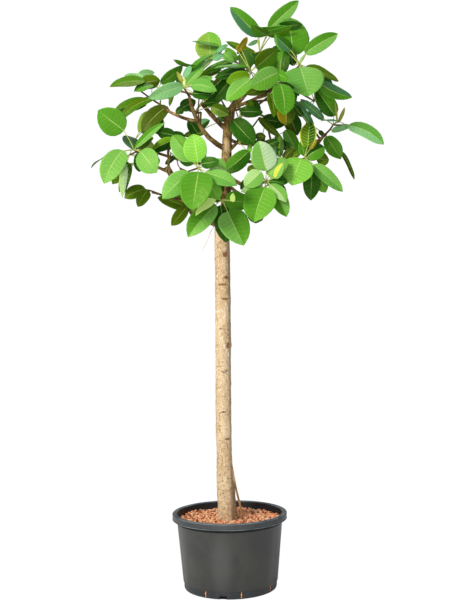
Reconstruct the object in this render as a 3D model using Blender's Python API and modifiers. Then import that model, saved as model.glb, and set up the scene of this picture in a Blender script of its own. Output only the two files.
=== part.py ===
"""A potted standard fig tree: a bare trunk, a forked head of boughs, loose masses of big leaves, a round pot.

Metres, +Z up. The origin is the centre of the pot's flat underside, and the tree's front is towards -Y.
"""

import math
from collections import namedtuple

import bmesh
import bpy
from mathutils import Vector, noise

# Clearance kept wherever two pieces meet, and how close two points must lie to be welded.
GAP = 0.0003
WELD = 0.00001

# Pot: a tapered nursery container with a thick rim band, drainage slits and one notch in its foot.
POT_HEIGHT = 0.2615
POT_SIDES = 40
FOOT_RADIUS = 0.1615
FOOT_ROUNDING = 0.0045
STEP_HEIGHT = 0.026
STEP_RADIUS = 0.1650
STEP_DEPTH = 0.0012
WALL_TOP_RADIUS = 0.1846
WALL_THICKNESS = 0.0032
FLOOR_THICKNESS = 0.0040
RIM_RADIUS = 0.2010
RIM_BAND = 0.0215
RIM_INNER_RADIUS = 0.1830
RIM_ROUNDING = 0.0040
RIM_DRAFT = 0.0010
SLIT_COUNT = 8
SLIT_WIDTH = 0.0065
SLIT_LOW = 0.0045
SLIT_HIGH = 0.0240
FIRST_SLIT_DEGREES = -31.5
NOTCH_WIDTH = 0.0230
NOTCH_HEIGHT = 0.0080
NOTCH_DEGREES = -8.75

# Root ball: potting mix topped with clay pebbles, level under the trunk and uneven further out.
SEAT_HEIGHT = 0.2360
SEAT_RADIUS = 0.0480
PEBBLE_HEIGHT = 0.2385
PEBBLE_RELIEF = 0.0030
PEBBLE_RINGS = 4
PEBBLE_LUMPS = 30.0
BALL_SIDES = 32

# Trunk: nearly straight, flaring into a few root ridges just above the pebbles.
TRUNK_OFFSET = -0.0115
TRUNK_RADIUS = 0.0260
TRUNK_FOOT_RADIUS = 0.0345
FLARE_HEIGHT = 0.045
FORK_HEIGHT = 1.2730
TRUNK_SIDES = 16
TRUNK_RINGS = 22
RING_CROWDING = 1.5
ROOT_RIDGES = 5
RIDGE_TURN = 0.8
RIDGE_DEPTH = 0.0022
KNOT_DEPTH = 0.0012
KNOT_CLOSENESS = 14.0

# Limbs: each runs on one bend from a point on its parent to a free end or into a foliage mass.
LIMB_STEPS = 6
THICK_LIMB = 0.018
MASS_ENTRY = 0.55
ENTRY_STEP = 0.005

# Foliage: uneven closed masses, each drawn out to the tips of its longest leaves.
MASS_SEGMENTS = 12
MASS_RINGS = 8
MASS_UNEVENNESS = 0.20
MASS_LUMPS = 2.3
MASS_SHIFT = 7.0
TIP_SPREAD = 0.10

Limb = namedtuple("Limb", "parent start bend end root tip")
Mass = namedtuple("Mass", "centre half tips")

# A limb's start is a point, or how far along its parent it leaves it.
LIMBS = {
    "upper_stem": Limb(None, (0.003, 0.0, FORK_HEIGHT + GAP), (0.006, 0.0, 1.55), (0.021, 0.0, 1.680), 0.038, 0.031),
    "leader_stub": Limb("upper_stem", 0.93, (0.038, -0.004, 1.698), (0.070, -0.022, 1.716), 0.026, 0.022),
    "cut_bough": Limb("upper_stem", 0.74, (-0.03, -0.03, 1.632), (-0.074, -0.05, 1.690), 0.018, 0.014),
    "low_left_bough": Limb(None, (-0.022, -0.004, 1.270), (-0.128, -0.03, 1.312), (-0.198, -0.05, 1.472), 0.029, 0.021),
    "left_fan_bough": Limb("low_left_bough", 0.93, (-0.23, -0.06, 1.47), "left_fan", 0.013, 0.010),
    "left_inner_bough": Limb("low_left_bough", 0.97, (-0.19, -0.04, 1.50), "left_inner", 0.010, 0.008),
    "whip_bough": Limb("low_left_bough", 0.50, (-0.17, 0.01, 1.37), "whip", 0.009, 0.006),
    "low_left_twig": Limb("low_left_bough", 0.30, (-0.10, 0.06, 1.32), "low_left", 0.009, 0.007),
    "upper_left_bough": Limb("upper_stem", 0.555, (-0.108, -0.05, 1.578), "upper_left", 0.020, 0.012),
    "left_shelf_bough": Limb("upper_left_bough", 0.66, (-0.17, -0.03, 1.64), "left_shelf", 0.013, 0.009),
    "centre_left_bough": Limb("upper_left_bough", 0.80, (-0.09, 0.01, 1.665), "centre_left", 0.009, 0.007),
    "top_left_bough": Limb("leader_stub", 0.62, (0.05, 0.01, 1.79), "top_left", 0.010, 0.008),
    "top_middle_bough": Limb("leader_stub", 0.80, (0.08, 0.01, 1.80), "top_middle", 0.012, 0.009),
    "top_front_bough": Limb("leader_stub", 0.93, (0.09, -0.08, 1.70), "top_front", 0.010, 0.008),
    "top_right_bough": Limb("leader_stub", 0.30, (0.15, -0.04, 1.70), "top_right", 0.014, 0.010),
    "right_front_bough": Limb("top_right_bough", 0.45, (0.16, -0.08, 1.70), "right_front", 0.009, 0.007),
    "centre_right_bough": Limb("upper_stem", 0.52, (0.045, 0.01, 1.56), "centre_right", 0.014, 0.010),
    "low_right_bough": Limb("upper_stem", 0.49, (0.11, -0.06, 1.465), "low_right", 0.014, 0.010),
    "right_tip_bough": Limb("low_right_bough", 0.80, (0.33, -0.06, 1.53), "right_tip", 0.012, 0.010),
    "front_right_bough": Limb("upper_stem", 0.36, (0.07, -0.16, 1.36), "front_right", 0.014, 0.011),
    "front_low_bough": Limb("upper_stem", 0.13, (0.00, -0.10, 1.31), "front_low", 0.012, 0.010),
    "front_left_bough": Limb("low_left_bough", 0.16, (-0.08, -0.16, 1.32), "front_left", 0.012, 0.009),
    "back_right_bough": Limb("upper_stem", 0.66, (0.09, 0.10, 1.54), "back_right", 0.013, 0.010),
    "rear_low_left_bough": Limb("upper_stem", 0.20, (-0.04, 0.12, 1.36), "rear_low_left", 0.013, 0.010),
    "rear_low_right_bough": Limb("upper_stem", 0.28, (0.07, 0.12, 1.36), "rear_low_right", 0.013, 0.010),
    "rear_left_bough": Limb("upper_stem", 0.42, (-0.16, 0.15, 1.50), "rear_left", 0.014, 0.010),
    "rear_top_bough": Limb("upper_stem", 0.90, (0.07, 0.10, 1.76), "rear_top", 0.012, 0.009),
    "rear_mid_bough": Limb("upper_stem", 0.76, (0.02, 0.20, 1.62), "rear_mid", 0.012, 0.009),
    "rear_right_bough": Limb("top_right_bough", 0.30, (0.18, 0.10, 1.72), "rear_right", 0.010, 0.008),
    "rear_upper_left_bough": Limb("upper_stem", 0.87, (-0.06, 0.14, 1.76), "rear_upper_left", 0.011, 0.009),
    "aerial_root": Limb(None, (0.005, -0.012, 0.475), (0.022, -0.014, 0.30), (0.046, -0.012, 0.243), 0.006, 0.007),
}

# Each mass: the centre of its rosettes, its half sizes, and the leaf tips that stand out of it.
MASSES = {
    "left_fan": Mass(
        (-0.32, -0.10, 1.50), (0.14, 0.125, 0.125),
        [(-0.44, -0.14, 1.42), (-0.46, -0.05, 1.48), (-0.35, -0.04, 1.37), (-0.44, -0.12, 1.65), (-0.20, -0.14, 1.61)],
    ),
    "left_shelf": Mass(
        (-0.27, 0.02, 1.73), (0.15, 0.125, 0.09),
        [(-0.40, 0.05, 1.78), (-0.39, 0.06, 1.69), (-0.35, 0.10, 1.83), (-0.25, 0.00, 1.59)],
    ),
    "upper_left": Mass(
        (-0.12, -0.12, 1.75), (0.10, 0.10, 0.075),
        [(-0.24, -0.18, 1.68), (-0.13, -0.10, 1.81), (-0.02, -0.17, 1.70), (-0.17, -0.02, 1.84)],
    ),
    "top_left": Mass(
        (-0.01, 0.00, 1.85), (0.10, 0.11, 0.09),
        [(-0.05, -0.03, 1.94), (-0.11, 0.08, 1.94), (-0.11, -0.07, 1.78)],
    ),
    "top_middle": Mass(
        (0.12, -0.03, 1.91), (0.10, 0.10, 0.09),
        [(0.03, -0.05, 2.03), (0.27, -0.02, 2.055), (0.02, 0.05, 1.93)],
    ),
    "top_front": Mass((0.08, -0.18, 1.74), (0.09, 0.10, 0.06), [(0.02, -0.24, 1.66), (-0.01, -0.10, 1.80)]),
    "top_right": Mass(
        (0.27, -0.10, 1.81), (0.11, 0.11, 0.10),
        [(0.23, -0.06, 1.97), (0.39, -0.10, 1.90), (0.28, -0.20, 1.68), (0.45, 0.00, 1.71)],
    ),
    "right_front": Mass((0.18, -0.20, 1.71), (0.075, 0.10, 0.075), [(0.20, -0.26, 1.60)]),
    "right_tip": Mass(
        (0.39, 0.02, 1.62), (0.11, 0.11, 0.10),
        [(0.56, -0.04, 1.54), (0.47, 0.05, 1.43), (0.32, 0.02, 1.73)],
    ),
    "low_right": Mass(
        (0.28, -0.14, 1.47), (0.10, 0.11, 0.10),
        [(0.22, -0.22, 1.38), (0.40, -0.18, 1.37), (0.30, -0.10, 1.34), (0.29, -0.16, 1.60)],
    ),
    "front_right": Mass(
        (0.14, -0.24, 1.39), (0.09, 0.11, 0.11),
        [(0.12, -0.26, 1.52), (0.09, -0.29, 1.26), (0.20, -0.20, 1.28)],
    ),
    "front_low": Mass(
        (-0.01, -0.20, 1.31), (0.09, 0.09, 0.075),
        [(-0.12, -0.25, 1.22), (0.07, -0.24, 1.19), (0.01, -0.16, 1.20)],
    ),
    "front_left": Mass(
        (-0.08, -0.31, 1.42), (0.11, 0.10, 0.10),
        [(-0.09, -0.33, 1.54), (-0.19, -0.36, 1.32), (-0.10, -0.38, 1.29), (0.05, -0.36, 1.36)],
    ),
    "whip": Mass((-0.29, 0.06, 1.40), (0.06, 0.075, 0.045), [(-0.36, 0.06, 1.38), (-0.31, 0.03, 1.34)]),
    "low_left": Mass((-0.16, 0.12, 1.34), (0.06, 0.09, 0.055), [(-0.19, 0.09, 1.27)]),
    "left_inner": Mass((-0.20, 0.00, 1.57), (0.075, 0.10, 0.055), []),
    "centre_left": Mass((-0.08, 0.17, 1.70), (0.09, 0.10, 0.09), []),
    "centre_right": Mass((0.09, -0.02, 1.59), (0.07, 0.10, 0.10), []),
    "back_right": Mass((0.22, 0.16, 1.61), (0.11, 0.11, 0.11), []),
    "rear_low_left": Mass((-0.11, 0.25, 1.43), (0.11, 0.11, 0.09), [(-0.18, 0.36, 1.34)]),
    "rear_low_right": Mass((0.14, 0.24, 1.40), (0.10, 0.11, 0.10), [(0.18, 0.38, 1.30)]),
    "rear_left": Mass((-0.35, 0.20, 1.60), (0.11, 0.125, 0.11), [(-0.38, 0.36, 1.55)]),
    "rear_top": Mass((0.16, 0.20, 1.89), (0.125, 0.11, 0.10), [(0.18, 0.34, 1.93)]),
    "rear_mid": Mass((0.04, 0.33, 1.72), (0.11, 0.125, 0.10), [(0.04, 0.46, 1.66)]),
    "rear_right": Mass((0.31, 0.19, 1.79), (0.09, 0.10, 0.08), [(0.37, 0.32, 1.76)]),
    "rear_upper_left": Mass((-0.20, 0.24, 1.80), (0.10, 0.10, 0.07), [(-0.26, 0.36, 1.84)]),
}


def material(name, colour, roughness, metallic=0.0):
    """A plain Principled material."""
    made = bpy.data.materials.new(name)
    made.use_nodes = True
    shader = made.node_tree.nodes["Principled BSDF"]
    shader.inputs["Base Color"].default_value = (*colour, 1.0)
    shader.inputs["Roughness"].default_value = roughness
    shader.inputs["Metallic"].default_value = metallic
    made.diffuse_color = (*colour, 1.0)
    return made


def new_collection(name):
    made = bpy.data.collections.new(name)
    bpy.context.scene.collection.children.link(made)
    return made


def new_object(name, mesh, finish, collection):
    """An object of its own in a collection, with smooth faces between its sharp edges."""
    made = bpy.data.objects.new(name, mesh)
    mesh.materials.append(finish)
    mesh.shade_smooth()
    mesh.set_sharp_from_angle(angle=math.radians(40))
    collection.objects.link(made)
    return made


def mesh_from(bm, name):
    """The finished mesh of a bmesh whose faces all point outwards."""
    bmesh.ops.recalc_face_normals(bm, faces=bm.faces)
    mesh = bpy.data.meshes.new(name)
    bm.to_mesh(mesh)
    bm.free()
    return mesh


def mark_cutter(cutter):
    cutter.hide_render = True
    cutter.display_type = "WIRE"


def cut(target, cutter):
    """Takes the cutter's volume out of the target."""
    mark_cutter(cutter)
    boolean = target.modifiers.new(cutter.name, "BOOLEAN")
    boolean.operation = "DIFFERENCE"
    boolean.solver = "EXACT"
    boolean.object = cutter


# ---------------------------------------------------------------- pot


def arc(centre, radius, start_degrees, end_degrees, count=4):
    """Points on a round corner of a profile."""
    for step in range(count + 1):
        angle = math.radians(start_degrees + (end_degrees - start_degrees) * step / count)
        yield (centre[0] + radius * math.cos(angle), centre[1] + radius * math.sin(angle))


def pot_profile():
    """The pot's section, from the floor's centre up the inside, over the rim and down the outside."""
    inside_foot = FOOT_RADIUS - WALL_THICKNESS - FOOT_ROUNDING / 2
    top = POT_HEIGHT - RIM_ROUNDING
    band = POT_HEIGHT - RIM_BAND
    points = [(0.0, FLOOR_THICKNESS), (inside_foot, FLOOR_THICKNESS)]
    points.append((STEP_RADIUS - WALL_THICKNESS, STEP_HEIGHT))
    points.append((RIM_INNER_RADIUS, top))
    points += arc((RIM_INNER_RADIUS + RIM_ROUNDING, top), RIM_ROUNDING, 165, 90, 2)
    points += arc((RIM_RADIUS - RIM_ROUNDING, top), RIM_ROUNDING, 90, 0, 3)
    points.append((RIM_RADIUS - RIM_DRAFT, band))
    points.append((WALL_TOP_RADIUS, band - RIM_DRAFT))
    points.append((STEP_RADIUS, STEP_HEIGHT))
    points.append((STEP_RADIUS - STEP_DEPTH, STEP_HEIGHT - STEP_DEPTH))
    points += arc((FOOT_RADIUS - FOOT_ROUNDING, FOOT_ROUNDING), FOOT_ROUNDING, 0, -90, 2)
    points.append((0.0, 0.0))
    return points


def turned(name, profile, sides, finish, collection):
    """A solid turned round +Z from a profile that starts and ends on the axis."""
    bm = bmesh.new()
    corners = [bm.verts.new((radius, 0.0, height)) for radius, height in profile]
    for first, second in zip(corners, corners[1:]):
        bm.edges.new((first, second))
    mesh = bpy.data.meshes.new(name)
    bm.to_mesh(mesh)
    bm.free()
    made = new_object(name, mesh, finish, collection)
    screw = made.modifiers.new("turn", "SCREW")
    screw.axis = "Z"
    screw.steps = sides
    screw.render_steps = sides
    screw.use_merge_vertices = True
    screw.merge_threshold = 0.0001
    return made


def foot_cutter(name, degrees, width, low, high, inner, outer, finish, collection):
    """A box that reaches through the pot's wall at one bearing, counted from the front."""
    bm = bmesh.new()
    bmesh.ops.create_cube(bm, size=1.0)
    bmesh.ops.scale(bm, vec=(width, outer - inner, high - low), verts=bm.verts)
    bmesh.ops.translate(bm, vec=(0.0, -(inner + outer) / 2, (low + high) / 2), verts=bm.verts)
    made = new_object(name, mesh_from(bm, name), finish, collection)
    made.rotation_euler = (0.0, 0.0, math.radians(degrees))
    return made


def make_pot(parts, cutters):
    plastic = material("black_plastic", (0.055, 0.058, 0.060), 0.45)
    pot = turned("pot", pot_profile(), POT_SIDES, plastic, parts)
    inner = FOOT_RADIUS - WALL_THICKNESS - FOOT_ROUNDING
    for index in range(SLIT_COUNT):
        degrees = FIRST_SLIT_DEGREES + index * 360 / SLIT_COUNT
        slit = foot_cutter(
            f"slit_{index}", degrees, SLIT_WIDTH, SLIT_LOW, SLIT_HIGH, inner, RIM_RADIUS, plastic, cutters
        )
        cut(pot, slit)
    notch_inner = inner + WALL_THICKNESS / 2
    notch = foot_cutter(
        "notch", NOTCH_DEGREES, NOTCH_WIDTH, -NOTCH_HEIGHT, NOTCH_HEIGHT, notch_inner, RIM_RADIUS, plastic, cutters
    )
    cut(pot, notch)
    return pot


# ---------------------------------------------------------------- root ball


def inside_radius(height):
    """The widest that a round solid may be inside the faceted pot at one height."""
    low = STEP_HEIGHT
    high = POT_HEIGHT - RIM_ROUNDING
    share = (height - low) / (high - low)
    wall = STEP_RADIUS - WALL_THICKNESS
    wide = wall + (RIM_INNER_RADIUS - wall) * share
    return (wide - 4 * GAP) * math.cos(math.pi / POT_SIDES)


def make_root_ball(parts):
    """A plug that fills the pot, with a level seat under the trunk and an uneven top of pebbles round it."""
    bottom = FLOOR_THICKNESS + GAP
    bm = bmesh.new()
    bmesh.ops.create_cone(
        bm,
        cap_ends=True,
        segments=BALL_SIDES,
        radius1=FOOT_RADIUS - WALL_THICKNESS - FOOT_ROUNDING,
        radius2=inside_radius(PEBBLE_HEIGHT),
        depth=PEBBLE_HEIGHT - bottom,
    )
    bmesh.ops.translate(bm, vec=(0.0, 0.0, (PEBBLE_HEIGHT + bottom) / 2), verts=bm.verts)
    top = max(bm.faces, key=lambda face: face.calc_center_median().z)
    ring_width = (inside_radius(PEBBLE_HEIGHT) - SEAT_RADIUS) / PEBBLE_RINGS
    for _ in range(PEBBLE_RINGS):
        bmesh.ops.inset_region(bm, faces=[top], thickness=ring_width, use_even_offset=True)
    for corner in bm.verts:
        out = math.hypot(corner.co.x, corner.co.y)
        if corner.co.z < PEBBLE_HEIGHT - GAP:
            continue
        if out < SEAT_RADIUS + ring_width / 2:
            corner.co.z = SEAT_HEIGHT
        elif out < inside_radius(PEBBLE_HEIGHT) - ring_width / 2:
            corner.co.z += PEBBLE_RELIEF * noise.noise(corner.co * PEBBLE_LUMPS)
    clay = material("clay_pebbles", (0.55, 0.22, 0.10), 0.9)
    return new_object("root_ball", mesh_from(bm, "root_ball"), clay, parts)


# ---------------------------------------------------------------- trunk


def trunk_radius(angle, height):
    """The trunk's radius: a slim shaft with faint knots that flares into root ridges at its foot."""
    above = height - SEAT_HEIGHT
    flare = math.exp(-above / FLARE_HEIGHT)
    ridge = RIDGE_DEPTH * flare * math.cos(ROOT_RIDGES * angle + RIDGE_TURN)
    knots = KNOT_DEPTH * noise.noise(Vector((math.cos(angle), math.sin(angle), KNOT_CLOSENESS * height)))
    return TRUNK_RADIUS + (TRUNK_FOOT_RADIUS - TRUNK_RADIUS) * flare + ridge + knots


def trunk_mesh(name, swell):
    """The trunk as rings drawn up from its flat foot, larger by swell all round and at its top."""
    bm = bmesh.new()
    bmesh.ops.create_circle(bm, cap_ends=False, segments=TRUNK_SIDES, radius=1.0)
    corners = bm.verts[:]
    edges = bm.edges[:]
    foot = SEAT_HEIGHT + GAP
    for ring in range(TRUNK_RINGS + 1):
        height = foot + (FORK_HEIGHT - foot) * (ring / TRUNK_RINGS) ** RING_CROWDING
        centre = 0.0
        if ring:
            drawn = bmesh.ops.extrude_edge_only(bm, edges=edges)["geom"]
            corners = [item for item in drawn if isinstance(item, bmesh.types.BMVert)]
            edges = [item for item in drawn if isinstance(item, bmesh.types.BMEdge)]
            centre = TRUNK_OFFSET
        raised = height + (swell if ring == TRUNK_RINGS else 0.0)
        for corner in corners:
            angle = math.atan2(corner.co.y, corner.co.x - centre)
            wide = trunk_radius(angle, height) + swell
            corner.co = (TRUNK_OFFSET + wide * math.cos(angle), wide * math.sin(angle), raised)
    bmesh.ops.holes_fill(bm, edges=[edge for edge in bm.edges if edge.is_boundary], sides=TRUNK_SIDES)
    return mesh_from(bm, name)


# ---------------------------------------------------------------- limbs


def bend_point(limb_line, share):
    """The point a share of the way along a limb's single bend."""
    start, bend, end = limb_line
    return start * (1 - share) ** 2 + bend * 2 * share * (1 - share) + end * share**2


def limb_line(name):
    """A limb's start, bend and end as points, before it is stopped at a mass."""
    limb = LIMBS[name]
    if isinstance(limb.start, tuple):
        start = Vector(limb.start)
    else:
        start = bend_point(limb_line(limb.parent), limb.start * limb_reach(limb.parent))
    end = Vector(MASSES[limb.end].centre if isinstance(limb.end, str) else limb.end)
    return start, Vector(limb.bend), end


def limb_reach(name):
    """The share of its bend that a limb runs before it enters its mass."""
    limb = LIMBS[name]
    if not isinstance(limb.end, str):
        return 1.0
    mass = MASSES[limb.end]
    line = limb_line(name)
    entry = MASS_ENTRY * sum(mass.half) / 3
    share = 1.0
    while (bend_point(line, share) - line[2]).length < entry:
        share -= ENTRY_STEP
    return share


def limb_points(name):
    line = limb_line(name)
    reach = limb_reach(name)
    return [bend_point(line, reach * step / LIMB_STEPS) for step in range(LIMB_STEPS + 1)]


def limb_radius(name, step):
    limb = LIMBS[name]
    return (limb.root + (limb.tip - limb.root) * step / LIMB_STEPS) / 2


def limb_mesh(name, swell):
    """A limb as a tapering tube with closed ends, larger by swell all round and beyond its far end."""
    limb = LIMBS[name]
    points = limb_points(name)
    if swell:
        points[-1] = points[-1] + (points[-1] - points[-2]).normalized() * swell
    curve = bpy.data.curves.new(name, "CURVE")
    curve.dimensions = "3D"
    curve.bevel_depth = 1.0
    curve.bevel_resolution = 2 if limb.root > THICK_LIMB else 1
    curve.use_fill_caps = True
    spline = curve.splines.new("POLY")
    spline.points.add(len(points) - 1)
    for step, point in enumerate(points):
        spline.points[step].co = (*point, 1.0)
        spline.points[step].radius = limb_radius(name, step) + swell
    tube = bpy.data.objects.new(f"{name}_tube", curve)
    bpy.context.scene.collection.objects.link(tube)
    evaluated = tube.evaluated_get(bpy.context.evaluated_depsgraph_get())
    mesh = bpy.data.meshes.new_from_object(evaluated)
    bpy.data.objects.remove(tube)
    bm = bmesh.new()
    bm.from_mesh(mesh)
    bmesh.ops.remove_doubles(bm, verts=bm.verts, dist=WELD)
    return mesh_from(bm, name)


def make_wood(parts, cutters):
    """The trunk and every limb, each cut back where it meets what it grows from."""
    pale_bark = material("trunk_bark", (0.62, 0.47, 0.31), 0.9)
    dark_bark = material("crown_bark", (0.20, 0.13, 0.08), 0.85)
    new_object("trunk", trunk_mesh("trunk", 0.0), pale_bark, parts)
    trunk_cutter = new_object("trunk_cutter", trunk_mesh("trunk_cutter", GAP), pale_bark, cutters)
    mark_cutter(trunk_cutter)
    limb_cutters = {}
    for name, limb in LIMBS.items():
        made = new_object(name, limb_mesh(name, 0.0), dark_bark, parts)
        if limb.parent:
            if limb.parent not in limb_cutters:
                cutter = new_object(f"{limb.parent}_cutter", limb_mesh(limb.parent, GAP), dark_bark, cutters)
                limb_cutters[limb.parent] = cutter
            cut(made, limb_cutters[limb.parent])
        if name in ("low_left_bough", "aerial_root"):
            cut(made, trunk_cutter)
        if name == "low_left_bough":
            cut(made, limb_cutters["upper_stem"])


# ---------------------------------------------------------------- foliage


def mass_corner(mass, index, direction):
    """Where an uneven mass reaches in one direction, before its neighbours limit it."""
    half = Vector(mass.half)
    ratios = Vector((direction.x / half.x, direction.y / half.y, direction.z / half.z))
    reach = 1.0 / ratios.length
    lumps_at = direction * MASS_LUMPS + Vector((MASS_SHIFT * index, 0.0, 0.0))
    reach *= 1.0 + MASS_UNEVENNESS * noise.noise(lumps_at)
    for tip in mass.tips:
        outward = Vector(tip) - Vector(mass.centre)
        closeness = math.exp((direction.dot(outward.normalized()) - 1.0) / TIP_SPREAD)
        reach = max(reach, outward.length * closeness)
    return reach


def mass_limits(name, reaches):
    """Planes round a mass, each a direction and a distance, that keep it off other masses and off limbs."""
    centre = Vector(MASSES[name].centre)
    size = sum(MASSES[name].half) / 3
    limits = []
    for other, mass in MASSES.items():
        across = Vector(mass.centre) - centre
        if other == name or across.length > reaches[name] + reaches[other]:
            continue
        other_size = sum(mass.half) / 3
        distance = (across.length_squared + size**2 - other_size**2) / (2 * across.length)
        limits.append((across.normalized(), distance - GAP))
    for limb in LIMBS:
        points = limb_points(limb)
        for step in range(LIMB_STEPS):
            nearest = nearest_on(points[step], points[step + 1], centre)
            across = nearest - centre
            if across.length < reaches[name] + LIMBS[limb].root:
                limits.append((across.normalized(), across.length - limb_radius(limb, step) - 2 * GAP))
    return limits


def nearest_on(first, second, point):
    """The point of a straight stretch that lies closest to another point."""
    along = second - first
    share = (point - first).dot(along) / along.length_squared
    return first + along * min(max(share, 0.0), 1.0)


def make_foliage(parts):
    """Every foliage mass: a round cage pushed out to its own uneven shape and held clear of its neighbours."""
    leaf_green = material("leaf_green", (0.16, 0.32, 0.07), 0.5)
    shapes = {}
    for index, (name, mass) in enumerate(MASSES.items()):
        bm = bmesh.new()
        bmesh.ops.create_uvsphere(bm, u_segments=MASS_SEGMENTS, v_segments=MASS_RINGS, radius=1.0)
        directions = [corner.co.normalized() for corner in bm.verts]
        arms = [direction * mass_corner(mass, index, direction) for direction in directions]
        for tip in mass.tips:
            outward = Vector(tip) - Vector(mass.centre)
            closest = max(range(len(directions)), key=lambda at: directions[at].dot(outward))
            arms[closest] = outward
        shapes[name] = (bm, arms)
    reaches = {name: max(arm.length for arm in arms) for name, (bm, arms) in shapes.items()}
    for name, (bm, arms) in shapes.items():
        limits = mass_limits(name, reaches)
        for corner, arm in zip(bm.verts, arms):
            allowed = 1.0
            for normal, distance in limits:
                along = arm.dot(normal)
                if along > distance:
                    allowed = min(allowed, distance / along)
            corner.co = Vector(MASSES[name].centre) + arm * allowed
        new_object(f"foliage_{name}", mesh_from(bm, name), leaf_green, parts)


def main():
    for old in list(bpy.data.objects):
        bpy.data.objects.remove(old)
    parts = new_collection("potted_standard_fig")
    cutters = new_collection("cutters")
    make_pot(parts, cutters)
    make_root_ball(parts)
    make_wood(parts, cutters)
    make_foliage(parts)


main()
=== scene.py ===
import math
from collections import namedtuple
from random import Random

import bmesh
import bpy
from mathutils import Matrix, Vector, noise


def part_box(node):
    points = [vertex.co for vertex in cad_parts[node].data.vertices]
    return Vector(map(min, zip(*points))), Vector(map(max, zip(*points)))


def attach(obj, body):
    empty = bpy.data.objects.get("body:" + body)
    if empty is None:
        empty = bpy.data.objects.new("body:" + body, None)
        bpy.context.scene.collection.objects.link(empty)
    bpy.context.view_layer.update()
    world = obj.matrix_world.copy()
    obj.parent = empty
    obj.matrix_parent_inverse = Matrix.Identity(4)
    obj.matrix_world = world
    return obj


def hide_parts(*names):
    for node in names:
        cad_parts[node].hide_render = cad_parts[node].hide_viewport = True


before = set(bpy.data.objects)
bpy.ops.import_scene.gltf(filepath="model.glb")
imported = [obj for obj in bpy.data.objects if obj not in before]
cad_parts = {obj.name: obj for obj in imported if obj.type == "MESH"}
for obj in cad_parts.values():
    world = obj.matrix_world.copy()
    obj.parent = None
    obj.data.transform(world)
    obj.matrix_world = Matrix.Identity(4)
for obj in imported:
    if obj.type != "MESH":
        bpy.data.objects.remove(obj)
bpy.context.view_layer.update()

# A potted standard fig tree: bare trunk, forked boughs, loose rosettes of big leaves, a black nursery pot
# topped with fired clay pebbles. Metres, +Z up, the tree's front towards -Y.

CM = 0.01
UP = Vector((0.0, 0.0, 1.0))
WHITE = (1.0, 1.0, 1.0)


def srgb(red, green, blue):
    """A colour given as it looks on a screen, 0 to 255, as the linear values that a shader takes."""
    return tuple(((value / 255 + 0.055) / 1.055) ** 2.4 for value in (red, green, blue))


def new_object(name, data):
    made = bpy.data.objects.new(name, data)
    bpy.context.scene.collection.objects.link(made)
    return made


def set_socket(tree, socket, value):
    """Joins a socket to another node's output, or gives it a value."""
    if isinstance(value, bpy.types.NodeSocket):
        tree.links.new(value, socket)
    else:
        socket.default_value = value


def add_node(tree, kind, sockets, output=0, **settings):
    """A shader node with its settings made and its sockets filled; gives back one of its outputs."""
    made = tree.nodes.new("ShaderNode" + kind)
    for setting, value in settings.items():
        setattr(made, setting, value)
    for name, value in sockets.items():
        set_socket(tree, made.inputs[name], value)
    return made.outputs[output]


# ---------------------------------------------------------------- camera, floor and light

EYE = Vector((0.0394, -3.467, 1.005))
EYE_DISTANCE = -EYE.y
LENS_MM = 59.18
FILM_MM = 36.0
CAMERA_ROLL = 0.9
# Strength of the backdrop as the camera sees it, as light on the tree, and as it is mirrored.
BACKDROP_SEEN = 1.03
BACKDROP_LIGHT = 0.34
BACKDROP_MIRRORED = 0.12
BACKDROP_WHITE = srgb(244, 249, 255)
FLOOR_SIZE = 30.0
FLOOR_GLOW = 1.05
FLOOR_GLOW_SHARE = 0.93
# Each light: name, place, what it points at, size, watts and colour.
LIGHTS = (
    ("key", (-2.6, -3.4, 3.6), (0.0, 0.0, 1.3), 1.6, 200.0, srgb(255, 250, 238)),
    ("front_fill", (-0.6, -4.4, 1.2), (0.0, 0.0, 1.0), 2.6, 40.0, WHITE),
    ("top_light", (0.2, 0.6, 4.2), (0.0, 0.0, 1.7), 2.2, 40.0, WHITE),
)


def make_camera():
    data = bpy.data.cameras.new("camera")
    data.sensor_fit = "VERTICAL"
    data.sensor_height = FILM_MM
    data.lens = LENS_MM
    camera = new_object("camera", data)
    camera.location = EYE
    camera.rotation_euler = (math.radians(90.0), math.radians(CAMERA_ROLL), 0.0)
    bpy.context.scene.camera = camera


def area_light(name, place, target, size, watts, colour):
    data = bpy.data.lights.new(name, "AREA")
    data.shape = "DISK"
    data.size = size
    data.energy = watts
    data.color = colour
    light = new_object(name, data)
    light.location = place
    light.rotation_euler = (Vector(target) - Vector(place)).to_track_quat("-Z", "Y").to_euler()


def make_studio():
    """A white backdrop, a pale floor and soft light from the upper left of the front."""
    scene = bpy.context.scene
    scene.view_settings.view_transform = "Standard"
    scene.world = bpy.data.worlds.new("studio")
    scene.world.use_nodes = True
    tree = scene.world.node_tree
    tree.nodes.clear()

    def backdrop(colour, strength):
        return add_node(tree, "Background", {"Color": (*colour, 1.0), "Strength": strength})

    def for_ray(kind, otherwise, chosen):
        is_such = add_node(tree, "LightPath", {}, kind)
        return add_node(tree, "MixShader", {"Fac": is_such, 1: otherwise, 2: chosen})

    light = backdrop(BACKDROP_WHITE, BACKDROP_LIGHT)
    unseen = for_ray("Is Glossy Ray", light, backdrop(BACKDROP_WHITE, BACKDROP_MIRRORED))
    shown_white = for_ray("Is Camera Ray", unseen, backdrop(WHITE, BACKDROP_SEEN))
    tree.links.new(shown_white, tree.nodes.new("ShaderNodeOutputWorld").inputs["Surface"])
    for light_row in LIGHTS:
        area_light(*light_row)
    bm = bmesh.new()
    bmesh.ops.create_grid(bm, x_segments=2, y_segments=2, size=FLOOR_SIZE)
    floor = new_piece("floor", bm, [floor_paint()])


# ---------------------------------------------------------------- meshes

# Points nearer than this are one point.
MERGE = 0.00005


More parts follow.
